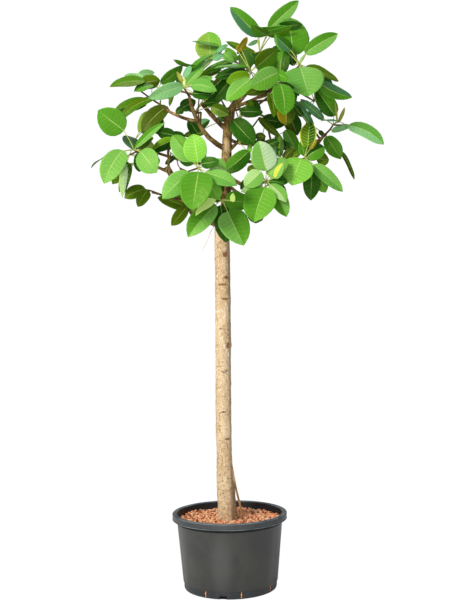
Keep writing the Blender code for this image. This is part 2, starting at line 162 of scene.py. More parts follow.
def new_piece(name, bm, finishes):
    """A piece made from a bmesh, with its materials in order."""
    mesh = bpy.data.meshes.new(name)
    bm.to_mesh(mesh)
    bm.free()
    for finish in finishes:
        mesh.materials.append(finish)
    mesh.shade_smooth()
    return new_object(name, mesh)


class Heap:
    """Many small shapes gathered into one mesh."""

    def __init__(self):
        self.bm = bmesh.new()
        self.carrier = bpy.data.meshes.new("carrier")

    def add(self, small):
        small.to_mesh(self.carrier)
        small.free()
        self.bm.from_mesh(self.carrier)

    def piece(self, name, finishes):
        bpy.data.meshes.remove(self.carrier)
        return new_piece(name, self.bm, finishes)


def settle(piece, slot, *nodes):
    """The piece rides on the tree's one body and stands for CAD nodes; slot is not used."""
    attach(piece, "root")
    if nodes:
        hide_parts(*nodes)


def across(direction):
    """A direction square to another, as level as it can be."""
    level = direction.cross(UP)
    return level.normalized() if level.length > 0.05 else Vector((1.0, 0.0, 0.0))


def tube(bm, points, radii, sides):
    """A closed round limb through points, drawn out ring by ring from a circle."""
    bmesh.ops.create_circle(bm, cap_ends=False, segments=sides, radius=1.0)
    bm.verts.ensure_lookup_table()
    corners = bm.verts[-sides:]
    edges = list({edge for corner in corners for edge in corner.link_edges})
    made = set(corners)
    along = (points[1] - points[0]).normalized()
    side = across(along)
    lift = side.cross(along)
    local = [(corner, corner.co.x, corner.co.y) for corner in corners]
    for step, point in enumerate(points):
        if step:
            previous = points[step - 1]
            radius = radii[step - 1]
            drawn = bmesh.ops.extrude_edge_only(bm, edges=edges)["geom"]
            corners = [item for item in drawn if isinstance(item, bmesh.types.BMVert)]
            edges = [item for item in drawn if isinstance(item, bmesh.types.BMEdge)]
            made.update(corners)
            offsets = [(corner, (corner.co - previous) / radius) for corner in corners]
            local = [(corner, offset.dot(side), offset.dot(lift)) for corner, offset in offsets]
            ahead = points[min(step + 1, len(points) - 1)] - previous
            along = ahead.normalized()
            side = (side - along * side.dot(along)).normalized()
            lift = side.cross(along)
        for corner, right, high in local:
            corner.co = point + (side * right + lift * high) * radii[step]
    ends = list({edge for corner in made for edge in corner.link_edges if edge.is_boundary})
    bmesh.ops.holes_fill(bm, edges=ends, sides=sides)
    bmesh.ops.recalc_face_normals(bm, faces=list({face for corner in made for face in corner.link_faces}))


def even_steps(first, last, steps):
    """Values from first to last in even steps."""
    return [first + (last - first) * step / steps for step in range(steps + 1)]


def bend(start, middle, end, steps):
    """Points on a single bend that starts towards middle and arrives from it."""
    shares = even_steps(0.0, 1.0, steps)
    return [start * (1 - t) ** 2 + middle * 2 * t * (1 - t) + end * t**2 for t in shares]


# ---------------------------------------------------------------- materials


class Finish:
    """A Principled material with short ways to add the nodes of its pattern."""

    def __init__(self, name, colour, roughness, specular=0.5):
        self.material = bpy.data.materials.new(name)
        self.material.use_nodes = True
        self.material.diffuse_color = (*colour, 1.0)
        self.tree = self.material.node_tree
        self.shader = self.tree.nodes["Principled BSDF"]
        self.set("Base Color", (*colour, 1.0))
        self.set("Roughness", roughness)
        self.set("Specular IOR Level", specular)

    def set(self, name, value):
        """Fills one of the shader's own sockets."""
        set_socket(self.tree, self.shader.inputs[name], value)

    def add(self, kind, sockets, output=0, **settings):
        return add_node(self.tree, kind, sockets, output, **settings)

    def place(self, stretch=(1.0, 1.0, 1.0), shift=(0.0, 0.0, 0.0)):
        """Object coordinates, stretched and then shifted."""
        own = self.add("TexCoord", {}, "Object")
        return self.add("Mapping", {"Vector": own, "Scale": stretch, "Location": shift})

    def grain(self, scale, detail=3.0, stretch=(1.0, 1.0, 1.0), roughness=0.55, distortion=0.0):
        """Soft noise; scale is its count per metre."""
        sockets = {"Vector": self.place(stretch), "Scale": scale, "Detail": detail}
        sockets.update({"Roughness": roughness, "Distortion": distortion})
        return self.add("TexNoise", sockets, "Fac")

    def maths(self, kind, first, second):
        return self.add("Math", {0: first, 1: second}, operation=kind)

    def ramp(self, value, low, high, from_value=0.0, to_value=1.0):
        """A smooth step: from_value below low, to_value above high."""
        sockets = {"Value": value, "From Min": low, "From Max": high}
        sockets.update({"To Min": from_value, "To Max": to_value})
        return self.add("MapRange", sockets, "Result", interpolation_type="SMOOTHSTEP")

    def patch(self, middle, size, full=0.9, ragged=1.6, near=1.35, far=2.05):
        """full inside an uneven patch of the given half sizes round a point, 0 outside it."""
        place = self.place([1 / half for half in size], [-a / half for a, half in zip(middle, size)])
        reach = self.add("VectorMath", {0: place}, "Value", operation="LENGTH")
        uneven = self.maths("MULTIPLY", self.grain(210.0), ragged)
        return self.ramp(self.maths("ADD", reach, uneven), near, far, full, 0.0)

    def blend(self, share, first, second):
        """A mix of two colours; each is a colour or another node's output."""
        made = self.tree.nodes.new("ShaderNodeMix")
        made.data_type = "RGBA"
        sockets = {socket.identifier: socket for socket in made.inputs}
        for name, value in (("Factor_Float", share), ("A_Color", first), ("B_Color", second)):
            set_socket(self.tree, sockets[name], (*value, 1.0) if isinstance(value, tuple) else value)
        return next(socket for socket in made.outputs if socket.identifier == "Result_Color")

    def over(self, body, pattern, low, high, full, colour):
        """A colour laid over the body where a pattern rises from low to high, full at most."""
        return self.blend(self.ramp(pattern, low, high, 0.0, full), body, srgb(*colour))

    def bump(self, height, distance, strength):
        """Relief, on top of any that the material has."""
        sockets = {"Height": height, "Distance": distance, "Strength": strength}
        earlier = self.shader.inputs["Normal"].links
        if earlier:
            sockets["Normal"] = earlier[0].from_socket
        self.set("Normal", self.add("Bump", sockets, "Normal"))


def floor_paint():
    """Matt white floor that shows almost white, with a faint contact shadow."""
    made = Finish("floor_paint", srgb(250, 250, 250), 0.9, 0.1)
    glow = made.add("Emission", {"Color": (*WHITE, 1.0), "Strength": FLOOR_GLOW})
    share = made.maths("MULTIPLY", made.add("LightPath", {}, "Is Camera Ray"), FLOOR_GLOW_SHARE)
    choice = made.add("MixShader", {"Fac": share, 1: made.shader.outputs[0], 2: glow})
    made.tree.links.new(choice, made.tree.nodes["Material Output"].inputs["Surface"])
    return made.material


# ---------------------------------------------------------------- pot

POT_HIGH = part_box("pot")[1]
POT_TOP = POT_HIGH.z
RIM_OUT = POT_HIGH.x
POT_STEPS = 144
POT_CREASE = 32
WALL = 0.0032
LIP = 0.0175
LIP_ROUND = 0.0035
BAND_HEIGHT = 0.0215
BAND_THICKNESS = 0.0024
WALL_TOP = 0.1846
STEP_OUT = 0.1650
STEP_UP = 0.0260
FOOT_OUT = 0.1615
FOOT_ROUND = 0.0045
BEAD_HEIGHT = 0.0030
# Height of the wall strip under the rim band that takes near-black painted shade.
GAP_HEIGHT = 0.0110
SLITS = 8
SLIT_START = -31.5
SLIT_WIDTH = 0.0078
SLIT_LOW = 0.0050
SLIT_HIGH = 0.0245
# The floor's upper and lower faces; the lower one stands off the ground inside the foot's ring.
FLOOR_TOP = 0.0045
FLOOR_UNDER = 0.0022
CUT_DEPTH = 0.05
NOTCH_BEARING = -8.75
NOTCH_SIZE = (0.0230, 0.024, 0.0230)
# Painted sheen on the front of the wall, left of its middle, and painted shade on its right side: middle and
# half sizes in metres, how strong, how ragged, and the shares of the size where it starts and ends.
POT_PAINTED_SHEEN = ((-0.028, -0.165, 0.120), (0.046, 0.07, 0.13), 0.60, 0.1, 0.25, 1.25)
POT_PAINTED_SHADE = ((0.155, -0.06, 0.120), (0.10, 0.14, 0.20), 0.55, 0.1, 0.45, 1.25)


def black_plastic(name, dark, light, roughness=0.40, dusty=0.55, streaks_sheen_and_shade=True):
    """Moulded black plastic with dust, and faint streaks in its relief; unless turned off, the streaks also
    show in its colour, with a paler painted sheen on the front and darker painted shade on the right side.
    """
    made = Finish(name, srgb(*dark), roughness)
    streaks = made.grain(30.0, 4.0, (1.0, 1.0, 0.05))
    dust = made.ramp(made.grain(330.0, 2.0), 0.69, 0.77)
    body = made.over(srgb(*dark), made.grain(8.0), 0.3, 0.7, 1.0, light)
    if streaks_sheen_and_shade:
        body = made.over(body, streaks, 0.45, 0.75, 0.3, (70, 70, 68))
        # Painted sheen on the front of the wall, and painted shade on its right side.
        body = made.blend(made.patch(*POT_PAINTED_SHEEN), body, srgb(88, 89, 88))
        body = made.blend(made.patch(*POT_PAINTED_SHADE), body, srgb(32, 33, 35))
    made.set("Base Color", made.blend(made.maths("MULTIPLY", dust, dusty), body, srgb(150, 146, 132)))
    made.set("Roughness", made.ramp(streaks, 0.3, 0.8, roughness - 0.06, roughness + 0.08))
    made.bump(made.grain(900.0, 2.0), 0.0002, 0.5)
    made.bump(streaks, 0.0004, 0.4)
    return made.material


def highlight_scuffed_plastic():
    """The lip's top and the bead under its band: a bluish-grey painted highlight, scuffed paler in places."""
    made = Finish("highlight_scuffed_plastic", srgb(88, 98, 108), 0.42)
    scuffs = made.grain(120.0, 4.0)
    body = made.over(srgb(70, 82, 94), made.grain(14.0), 0.35, 0.65, 1.0, (112, 120, 126))
    made.set("Base Color", made.over(body, scuffs, 0.54, 0.66, 0.6, (146, 146, 138)))
    made.set("Roughness", made.ramp(scuffs, 0.3, 0.8, 0.36, 0.56))
    made.bump(scuffs, 0.0005, 0.5)
    return made.material


def pot_zone(middle, normal):
    """The finish of a face: 0 wall, 1 foot, 2 inside in painted shade, 3 lip and bead in a painted highlight,
    4 gap in near-black painted shade, 5 rim band.
    """
    out = math.hypot(middle.x, middle.y)
    outward = (normal.x * middle.x + normal.y * middle.y) / max(out, 0.001)
    if middle.z > POT_TOP - 0.005 and normal.z > 0.35:
        return 3
    if outward < -0.3 or (normal.z > 0.5 and middle.z < POT_TOP - 0.01):
        return 2
    if out > RIM_OUT - 0.0035 and middle.z < POT_TOP - BAND_HEIGHT + BEAD_HEIGHT:
        return 3
    if out > RIM_OUT - 0.0035:
        return 5
    if middle.z > POT_TOP - BAND_HEIGHT - GAP_HEIGHT:
        return 4
    return 1 if middle.z < STEP_UP - 0.0005 else 0


def corner(centre, radius, start, end, count):
    """Points round a corner of a section, bearings in degrees."""
    bearings = [math.radians(bearing) for bearing in even_steps(start, end, count)]
    return [(centre[0] + radius * math.cos(a), centre[1] + radius * math.sin(a)) for a in bearings]


def make_pot():
    """The pot's whole section spun round, then the drainage slits and the foot notch cut through it."""
    top = POT_TOP - LIP_ROUND
    band = POT_TOP - BAND_HEIGHT
    lip_in = RIM_OUT - LIP
    section = [(0.0, FLOOR_TOP), (FOOT_OUT - WALL - FOOT_ROUND, FLOOR_TOP)]
    section += [(STEP_OUT - WALL, STEP_UP), (lip_in, top)]
    section += corner((lip_in + LIP_ROUND, top), LIP_ROUND, 170, 90, 4)
    section += [(RIM_OUT - LIP * 0.45, POT_TOP - 0.0004)]
    section += corner((RIM_OUT - LIP_ROUND, top), LIP_ROUND, 90, 0, 5)
    section += [(RIM_OUT - 0.0010, band + BEAD_HEIGHT + 0.0008), (RIM_OUT - 0.0002, band + BEAD_HEIGHT)]
    section += [(RIM_OUT, band + 0.0010), (RIM_OUT - 0.0010, band), (RIM_OUT - BAND_THICKNESS, band)]
    section += [(RIM_OUT - BAND_THICKNESS, top - 0.004), (WALL_TOP + 0.0016, top - 0.005)]
    section += [(WALL_TOP, band - GAP_HEIGHT), (WALL_TOP - 0.0004, band - GAP_HEIGHT - 0.001)]
    section += [(STEP_OUT + 0.0006, STEP_UP + 0.0008), (STEP_OUT, STEP_UP)]
    section += [(STEP_OUT - 0.0022, STEP_UP - 0.0012), (STEP_OUT - 0.0024, STEP_UP - 0.0030)]
    section += [(FOOT_OUT + 0.0010, 0.0090)]
    section += corner((FOOT_OUT - FOOT_ROUND, FOOT_ROUND), FOOT_ROUND, 0, -90, 4)
    section += [(FOOT_OUT - 0.030, 0.0), (FOOT_OUT - 0.034, FLOOR_UNDER), (0.0, FLOOR_UNDER)]
    bm = bmesh.new()
    points = [bm.verts.new((out, 0.0, high)) for out, high in section]
    edges = [bm.edges.new(pair) for pair in zip(points, points[1:])]
    whole = points + edges
    bmesh.ops.spin(bm, geom=whole, cent=(0, 0, 0), axis=UP, angle=math.tau, steps=POT_STEPS, use_merge=True)
    bmesh.ops.remove_doubles(bm, verts=bm.verts, dist=0.00002)
    bmesh.ops.recalc_face_normals(bm, faces=bm.faces)
    for face in bm.faces:
        face.material_index = pot_zone(face.calc_center_median(), face.normal)
    # Near-black painted shade: the hollow under the rim band, the wall strip just below it, and the cut faces
    # of the slits and notch.
    gap = black_plastic("shaded_gap", (10, 11, 12), (16, 17, 18), 0.8, 0.0, streaks_sheen_and_shade=False)
    finishes = [
        black_plastic("pot_wall", (46, 48, 49), (60, 61, 58)),
        black_plastic("pot_foot", (34, 40, 46), (46, 53, 58)),
        # The inside is a darker copy of the same plastic: painted shade.
        black_plastic("pot_inside", (20, 24, 30), (32, 36, 42), 0.5, streaks_sheen_and_shade=False),
        # Painted highlight on the lip's top and on the bead under the band.
        highlight_scuffed_plastic(),
        gap,
        black_plastic("rim_band", (50, 55, 60), (66, 70, 72)),
    ]
    pot = new_piece("pot_shell", bm, finishes)
    pot.data.set_sharp_from_angle(angle=math.radians(POT_CREASE))
    slit_size = (SLIT_WIDTH, CUT_DEPTH, SLIT_HIGH - SLIT_LOW)
    bearings = [SLIT_START + index * 360 / SLITS for index in range(SLITS)]
    cuts = [(bearing, (SLIT_HIGH + SLIT_LOW) / 2, slit_size) for bearing in bearings]
    cuts.append((NOTCH_BEARING, 0.0, NOTCH_SIZE))
    holes = bmesh.new()
    for bearing, height, size in cuts:
        box = Matrix.LocRotScale(Vector((0, -STEP_OUT, height)), None, size)
        bmesh.ops.create_cube(holes, size=1.0, matrix=Matrix.Rotation(math.radians(bearing), 4, "Z") @ box)
    cutter = new_piece("pot_holes", holes, [gap])
    boolean = pot.modifiers.new("holes", "BOOLEAN")
    boolean.operation = "DIFFERENCE"
    boolean.solver = "EXACT"
    boolean.material_mode = "TRANSFER"
    boolean.object = cutter
    apply_modifiers(pot)
    bpy.data.objects.remove(cutter)
    settle(pot, "pot_plastic", "pot")


def apply_modifiers(piece):
    """Turns what a piece's modifiers make into its own mesh."""
    evaluated = piece.evaluated_get(bpy.context.evaluated_depsgraph_get())
    mesh = bpy.data.meshes.new_from_object(evaluated)
    piece.modifiers.clear()
    piece.data = mesh


# ---------------------------------------------------------------- potting mix and clay pebbles

PEBBLE_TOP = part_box("root_ball")[1].z
PEBBLE_COUNT = 2000
# Half size of a middling pebble, and how much smaller and larger the rest are.
PEBBLE_MEAN = 0.0050
PEBBLE_SIZES = (0.72, 1.32)
# The ring they lie in, the swells of its surface, how deep they sink, and their own ups and downs.
TRUNK_CLEAR = 0.030
PEBBLE_FIELD = 0.1795
PEBBLE_HUMPS = 0.0046
PEBBLE_SINK = 0.0042
PEBBLE_LEVELS = (-0.0040, 0.0034)
# The pebbles that show in each slit: how many, their size, the lowest one's height and the step between.
SLIT_PEBBLES = 5
SLIT_PEBBLE_SIZE = 0.0031
SLIT_PEBBLE_LOW = 0.007
SLIT_PEBBLE_STEP = 0.0042
MIX_LOW = 0.0048
MIX_TOP = PEBBLE_TOP - 0.006
MIX_CREASE = 40
# Each clay: name, colour, dusty colour and its share of the pebbles.
CLAYS = (
    ("clay_orange", (228, 150, 106), (246, 188, 146), 5),
    ("clay_tan", (240, 178, 134), (252, 214, 176), 4),
    ("clay_brown", (200, 120, 80), (224, 158, 116), 3),
    ("clay_dark", (140, 80, 54), (178, 118, 84), 2),
    ("clay_pale", (250, 206, 168), (255, 228, 200), 1),
)


def clay(name, colour, dusty):
    """Fired clay: matt, pitted, dusty on top."""
    made = Finish(name, srgb(*colour), 0.88, 0.25)
    made.set("Base Color", made.over(srgb(*colour), made.grain(700.0), 0.42, 0.68, 1.0, dusty))
    made.bump(made.grain(900.0), 0.0006, 0.7)
    return made.material


def potting_mix():
    made = Finish("potting_mix", srgb(70, 42, 26), 0.95, 0.2)
    crumbs = made.add("TexVoronoi", {"Vector": made.place(), "Scale": 160.0}, "Distance")
    made.set("Base Color", made.over(srgb(104, 58, 34), crumbs, 0.2, 0.6, 1.0, (38, 22, 14)))
    made.bump(made.grain(260.0, 4.0), 0.003, 0.8)
    return made.material


def stone(place, size, random, finish):
    """One pebble: a cube rounded to a lump and squeezed unevenly."""
    bm = bmesh.new()
    bmesh.ops.create_cube(bm, size=1.0)
    bmesh.ops.subdivide_edges(bm, edges=bm.edges, cuts=1, use_grid_fill=True)
    shape = Vector((random.uniform(0.85, 1.2), random.uniform(0.75, 1.05), random.uniform(0.65, 0.9)))
    spin = Matrix.Rotation(random.uniform(0, math.tau), 3, "Z")
    turn = spin @ Matrix.Rotation(random.uniform(-0.5, 0.5), 3, "X")
    seed = Vector((random.uniform(0, 50), random.uniform(0, 50), 0.0))
    for vertex in bm.verts:
        direction = vertex.co.normalized()
        reach = size * (1.0 + 0.28 * noise.noise(direction * 1.7 + seed))
        vertex.co = place + turn @ (direction * reach * shape)
    for face in bm.faces:
        face.material_index = finish
    return bm


def make_pebbles():
    """Pebbles strewn over the filling and a few showing in each slit, and the mix that fills the pot."""
    random = Random(41)
    heap = Heap()
    shares = [row[-1] for row in CLAYS]
    for _ in range(PEBBLE_COUNT):
        out = math.sqrt(random.uniform(TRUNK_CLEAR**2, PEBBLE_FIELD**2))
        bearing = random.uniform(0, math.tau)
        size = PEBBLE_MEAN * random.uniform(*PEBBLE_SIZES)
        x, y = out * math.cos(bearing), out * math.sin(bearing)
        hump = PEBBLE_HUMPS * noise.noise(Vector((x, y, 0.3)) * 22.0)
        level = PEBBLE_TOP - PEBBLE_SINK + hump + random.uniform(*PEBBLE_LEVELS)
        finish = random.choices(range(len(CLAYS)), shares)[0]
        heap.add(stone(Vector((x, y, level)), size, random, finish))
    reach = FOOT_OUT - 0.0024
    for index in range(SLITS):
        bearing = math.radians(SLIT_START + index * 360 / SLITS - 90)
        for step in range(SLIT_PEBBLES):
            aside = bearing + random.uniform(-0.005, 0.005)
            height = SLIT_PEBBLE_LOW + SLIT_PEBBLE_STEP * step
            place = Vector((reach * math.cos(aside), reach * math.sin(aside), height))
            heap.add(stone(place, SLIT_PEBBLE_SIZE, random, random.choice((0, 1, 1))))
    settle(heap.piece("clay_pebbles", [clay(*row[:3]) for row in CLAYS]), "clay_pebbles")

    bm = bmesh.new()
    low_out = FOOT_OUT - WALL - FOOT_ROUND - 0.0032
    top_out = RIM_OUT - LIP - 0.0042
    tall = MIX_TOP - MIX_LOW
    bmesh.ops.create_cone(bm, cap_ends=True, segments=64, radius1=low_out, radius2=top_out, depth=tall)
    bmesh.ops.translate(bm, verts=bm.verts, vec=(0, 0, (MIX_TOP + MIX_LOW) / 2))
    mix = new_piece("potting_mix_body", bm, [potting_mix()])
    mix.data.set_sharp_from_angle(angle=math.radians(MIX_CREASE))
    settle(mix, "clay_pebbles", "root_ball")


# ---------------------------------------------------------------- bark

TRUNK_FINE = 0.0022
BOUGH_FINE = 0.0024
FRONT_BOUGHS = (
    "upper_stem", "leader_stub", "cut_bough", "low_left_bough", "left_fan_bough", "left_inner_bough",
    "whip_bough", "low_left_twig", "upper_left_bough", "left_shelf_bough", "top_left_bough",
    "top_middle_bough", "top_front_bough", "top_right_bough", "right_front_bough", "centre_right_bough",
    "low_right_bough", "right_tip_bough", "front_right_bough", "front_low_bough", "front_left_bough",
)
REAR_BOUGHS = (
    "centre_left_bough", "back_right_bough", "rear_low_left_bough", "rear_low_right_bough",
    "rear_left_bough", "rear_top_bough", "rear_mid_bough", "rear_right_bough", "rear_upper_left_bough",
)
# How strongly the joined limbs are smoothed, and how many times.
WOOD_SMOOTHING = (0.5, 3)

# Brown scars on the trunk's front: x and z of the middle, half width and half height, in metres.
TRUNK_SCARS = (
    (-0.007, 1.009, 0.013, 0.0045), (-0.009, 0.757, 0.014, 0.005), (-0.012, 1.060, 0.017, 0.004),
    (0.002, 1.085, 0.011, 0.007), (-0.020, 0.905, 0.007, 0.005), (0.004, 0.847, 0.008, 0.012),
    (-0.001, 1.165, 0.009, 0.010), (-0.016, 0.615, 0.010, 0.004), (-0.004, 0.520, 0.012, 0.004),
)
# Where across the trunk its right side is fully darkened: browner bark and painted shade.
TRUNK_SHADED_SIDE = 0.0145
# How the trunk's skin wanders: height, shift to the right and extra radius, in metres.
TRUNK_LINE = (
    (0.20, 0.0050, 0.0022), (0.27, 0.0030, 0.0034), (0.33, -0.0004, 0.0050), (0.42, -0.0036, 0.0024),
    (0.50, -0.0045, 0.0014), (0.67, -0.0040, 0.0013), (0.80, -0.0026, 0.0013), (0.95, -0.0004, 0.0013),
    (1.05, 0.0, 0.0012), (1.22, 0.0, 0.0010), (1.30, 0.0, 0.0),
)
# Knobs of old side shoots: place, radius and how far they stand out.
TRUNK_KNOBS = (
    ((0.0150, -0.006, 0.847), 0.010, 0.0032), ((0.0150, -0.008, 0.714), 0.009, 0.0026),
    ((0.0140, -0.010, 1.008), 0.008, 0.0018), ((-0.0370, -0.004, 0.930), 0.008, 0.0016),
    ((-0.0370, -0.006, 0.560), 0.010, 0.0018), ((0.004, -0.024, 0.640), 0.009, 0.0016),
)


def trunk_bark():
    """Tan young fig bark: white flecks, brown speckles in patches, a few scars, and a right side darkened,
    browner bark with painted shade.
    """
    made = Finish("trunk_bark", srgb(214, 186, 150), 0.86, 0.25)
    cloud = made.grain(9.0, 5.0, (1.0, 1.0, 0.7))
    patchy = made.grain(17.0, 3.0, (1.0, 1.0, 0.8))
    speckle = made.grain(150.0, 4.0, (1.0, 1.0, 0.9), 0.65)
    streak = made.grain(70.0, 4.0, (1.0, 1.0, 0.30), 0.6)
    flecks = made.grain(135.0, 3.0, (1.0, 1.0, 0.8), 0.6, 0.4)
    dashes = made.grain(60.0, 3.0, (0.8, 0.8, 2.6))
    body = made.over(srgb(202, 172, 132), cloud, 0.34, 0.66, 1.0, (226, 202, 166))
    body = made.over(body, streak, 0.46, 0.70, 0.40, (176, 142, 100))
    where_brown = made.ramp(patchy, 0.36, 0.60, 0.25, 1.0)
    brown = made.maths("MULTIPLY", made.ramp(speckle, 0.50, 0.62, 0.0, 0.85), where_brown)
    body = made.blend(brown, body, srgb(142, 104, 66))
    body = made.over(body, dashes, 0.63, 0.72, 0.7, (134, 92, 56))
    for x, z, wide, high in TRUNK_SCARS:
        body = made.blend(made.patch((x, -0.026, z), (wide, 0.03, high)), body, srgb(122, 78, 44))
    # The right side darkened: browner bark with painted shade.
    own_x = made.add("SeparateXYZ", {0: made.place()}, "X")
    body = made.over(body, own_x, TRUNK_SHADED_SIDE - 0.014, TRUNK_SHADED_SIDE, 0.55, (128, 96, 62))
    where_white = made.ramp(patchy, 0.30, 0.56, 1.0, 0.35)
    white = made.maths("MULTIPLY", made.ramp(flecks, 0.56, 0.64, 0.0, 0.95), where_white)
    made.set("Base Color", made.blend(white, body, srgb(250, 240, 222)))
    made.set("Roughness", made.ramp(flecks, 0.4, 0.8, 0.78, 0.92))
    made.bump(speckle, 0.0014, 0.6)
    made.bump(streak, 0.0012, 0.5)
    made.bump(dashes, 0.0012, 0.5)
    return made.material


# Patches on the boughs: middle and half sizes in metres, and the colour there, of old cuts and of painted
# highlights along a bough's top and on the stem.
BOUGH_CUTS_AND_HIGHLIGHTS = (
    ((0.072, -0.024, 1.718), (0.019, 0.014, 0.016), (214, 184, 140)),
    ((-0.075, -0.051, 1.692), (0.010, 0.010, 0.007), (190, 160, 112)),
    ((0.014, -0.012, 1.690), (0.016, 0.016, 0.008), (176, 146, 96)),
    ((0.105, -0.014, 1.712), (0.055, 0.024, 0.012), (178, 128, 82)),
    ((0.010, -0.020, 1.545), (0.014, 0.014, 0.030), (206, 176, 132)),
)


def crown_bark():
    """Browner bark of the upper stem and boughs: light ridges, dark hollows, a green bloom, old cuts and
    painted highlights.
    """
    made = Finish("crown_bark", srgb(144, 118, 76), 0.86, 0.25)
    fibre = made.grain(120.0, 4.0, (1.0, 1.0, 0.4), 0.6)
    patches = made.grain(34.0, 4.0, (1.0, 1.0, 0.7), 0.6)
    body = made.over(srgb(84, 62, 30), made.grain(20.0, 5.0), 0.36, 0.62, 1.0, (150, 122, 72))
    body = made.over(body, patches, 0.54, 0.68, 0.7, (200, 170, 116))
    body = made.over(body, fibre, 0.46, 0.64, 0.85, (52, 34, 12))
    body = made.over(body, made.grain(12.0), 0.52, 0.68, 0.40, (100, 104, 30))
    # Old cuts, and painted highlights on a bough's top and on the stem.
    for middle, size, colour in BOUGH_CUTS_AND_HIGHLIGHTS:
        body = made.blend(made.patch(middle, size), body, srgb(*colour))
    made.set("Base Color", body)
    made.bump(fibre, 0.0014, 0.7)
    made.bump(patches, 0.0016, 0.6)
    return made.material


def root_bark():
    """Dark brown skin of the aerial roots, paler in patches."""
    made = Finish("root_bark", srgb(124, 88, 56), 0.85, 0.25)
    flecks = made.grain(260.0)
    cloud = made.grain(60.0, 4.0, (1.0, 1.0, 0.5))
    body = made.over(srgb(112, 80, 50), cloud, 0.35, 0.62, 1.0, (178, 138, 94))
    made.set("Base Color", made.over(body, flecks, 0.56, 0.66, 0.7, (206, 176, 134)))
    made.bump(flecks, 0.0008, 0.7)
    return made.material


def twig_bark():
    """Dark brown skin of the young twigs, greener in patches."""
    made = Finish("twig_bark", srgb(84, 62, 36), 0.8, 0.25)
    made.set("Base Color", made.over(srgb(70, 48, 28), made.grain(60.0), 0.35, 0.65, 1.0, (118, 98, 54)))
    made.bump(made.grain(300.0), 0.0006, 0.6)
    return made.material


def node_copy(heap, node):
    """Adds a CAD node's mesh to a heap, merged into one skin."""
    copy = bmesh.new()
    copy.from_mesh(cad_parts[node].data)
    bmesh.ops.remove_doubles(copy, verts=copy.verts, dist=MERGE)
    heap.add(copy)


def wooden_piece(name, nodes, fine, finish, relief, shift):
    """CAD limbs grown into one skin, smoothed where they meet, with the bark's relief pushed out of it."""
    heap = Heap()
    for node in nodes:
        node_copy(heap, node)
    piece = heap.piece(name, [finish])
    remesh = piece.modifiers.new("grown", "REMESH")
    remesh.mode = "VOXEL"
    remesh.voxel_size = fine
    smooth = piece.modifiers.new("smooth", "SMOOTH")
    smooth.factor, smooth.iterations = WOOD_SMOOTHING
    apply_modifiers(piece)
    bm = bmesh.new()
    bm.from_mesh(piece.data)
    bm.normal_update()
    for vertex in bm.verts:
        vertex.co = vertex.co + vertex.normal * relief(vertex.co) + shift(vertex.co)
    bm.to_mesh(piece.data)
    bm.free()
    piece.data.shade_smooth()
    return piece


def on_trunk_line(height):
    """The trunk's shift and extra radius at a height."""
    if height <= TRUNK_LINE[0][0]:
        return TRUNK_LINE[0][1:]
    for (low, *first), (high, *second) in zip(TRUNK_LINE, TRUNK_LINE[1:]):
        if height <= high:
            share = (height - low) / (high - low)
            return [a + (b - a) * share for a, b in zip(first, second)]
    return 0.0, 0.0


def trunk_shift(place):
    return Vector((on_trunk_line(place.z)[0], 0.0, 0.0))


def no_shift(place):
    return Vector()


def trunk_relief(place):
    """How far the trunk's bark stands out: its swell, lumps, wrinkles and the knobs of old shoots."""
    out = on_trunk_line(place.z)[1] + 0.0011 * noise.noise(place * 15.0) + 0.0008 * noise.noise(place * 46.0)
    out += 0.0005 * noise.noise(Vector((place.x * 150.0, place.y * 150.0, place.z * 80.0)))
    for middle, radius, height in TRUNK_KNOBS:
        away = (place - Vector(middle)).length / radius
        if away < 2.5:
            out += height * math.exp(-(away**2))
    return out


def bough_relief(place):
    return 0.0006 + 0.0011 * noise.noise(place * 34.0) + 0.0006 * noise.noise(place * 130.0)


# Aerial roots: the points each follows, in metres, and its radii at the start and the end.
ROOT_STRANDS = (
    ([(0.004, -0.0280, 0.475), (0.012, -0.0285, 0.425), (0.021, -0.0275, 0.365), (0.031, -0.0250, 0.318),
      (0.041, -0.0210, 0.275), (0.050, -0.0170, 0.236)], 0.0020, 0.0040),
    ([(0.003, -0.0275, 0.455), (0.0155, -0.0265, 0.400), (0.0165, -0.0295, 0.360), (0.030, -0.0260, 0.318),
      (0.0385, -0.0240, 0.272), (0.045, -0.0210, 0.236)], 0.0014, 0.0028),
    ([(-0.010, -0.0280, 0.520), (0.002, -0.0275, 0.470)], 0.0008, 0.0016),
)
PALE_ROOT = (
    (-0.036, -0.020, 1.268), (-0.050, -0.030, 1.245), (-0.066, -0.034, 1.205), (-0.083, -0.034, 1.175),
)
PALE_ROOT_RADII = (0.0013, 0.0012, 0.0010, 0.0006)


def make_roots():
    """The aerial roots that hang beside the trunk, and a pale young one higher up."""
    bm = bmesh.new()
    for points, start, end in ROOT_STRANDS:
        last = len(points) - 1
        tube(bm, [Vector(point) for point in points], even_steps(start, end, last), 8)
    piece = new_piece("aerial_roots", bm, [root_bark()])
    rounder = piece.modifiers.new("rounder", "SUBSURF")
    rounder.levels = rounder.render_levels = 2
    apply_modifiers(piece)
    settle(piece, "trunk_bark", "aerial_root")
    bm = bmesh.new()
    tube(bm, [Vector(point) for point in PALE_ROOT], PALE_ROOT_RADII, 6)
    settle(new_piece("pale_root", bm, [trunk_bark()]), "trunk_bark")


def make_wood():
    trunk = wooden_piece("trunk_skin", ("trunk",), TRUNK_FINE, trunk_bark(), trunk_relief, trunk_shift)
    settle(trunk, "trunk_bark", "trunk")
    make_roots()
    bark = crown_bark()
    for name, nodes in (("front_boughs", FRONT_BOUGHS), ("rear_boughs", REAR_BOUGHS)):
        piece = wooden_piece(name, nodes, BOUGH_FINE, bark, bough_relief, no_shift)
        settle(piece, "crown_bark", *nodes)


# ---------------------------------------------------------------- leaf colours

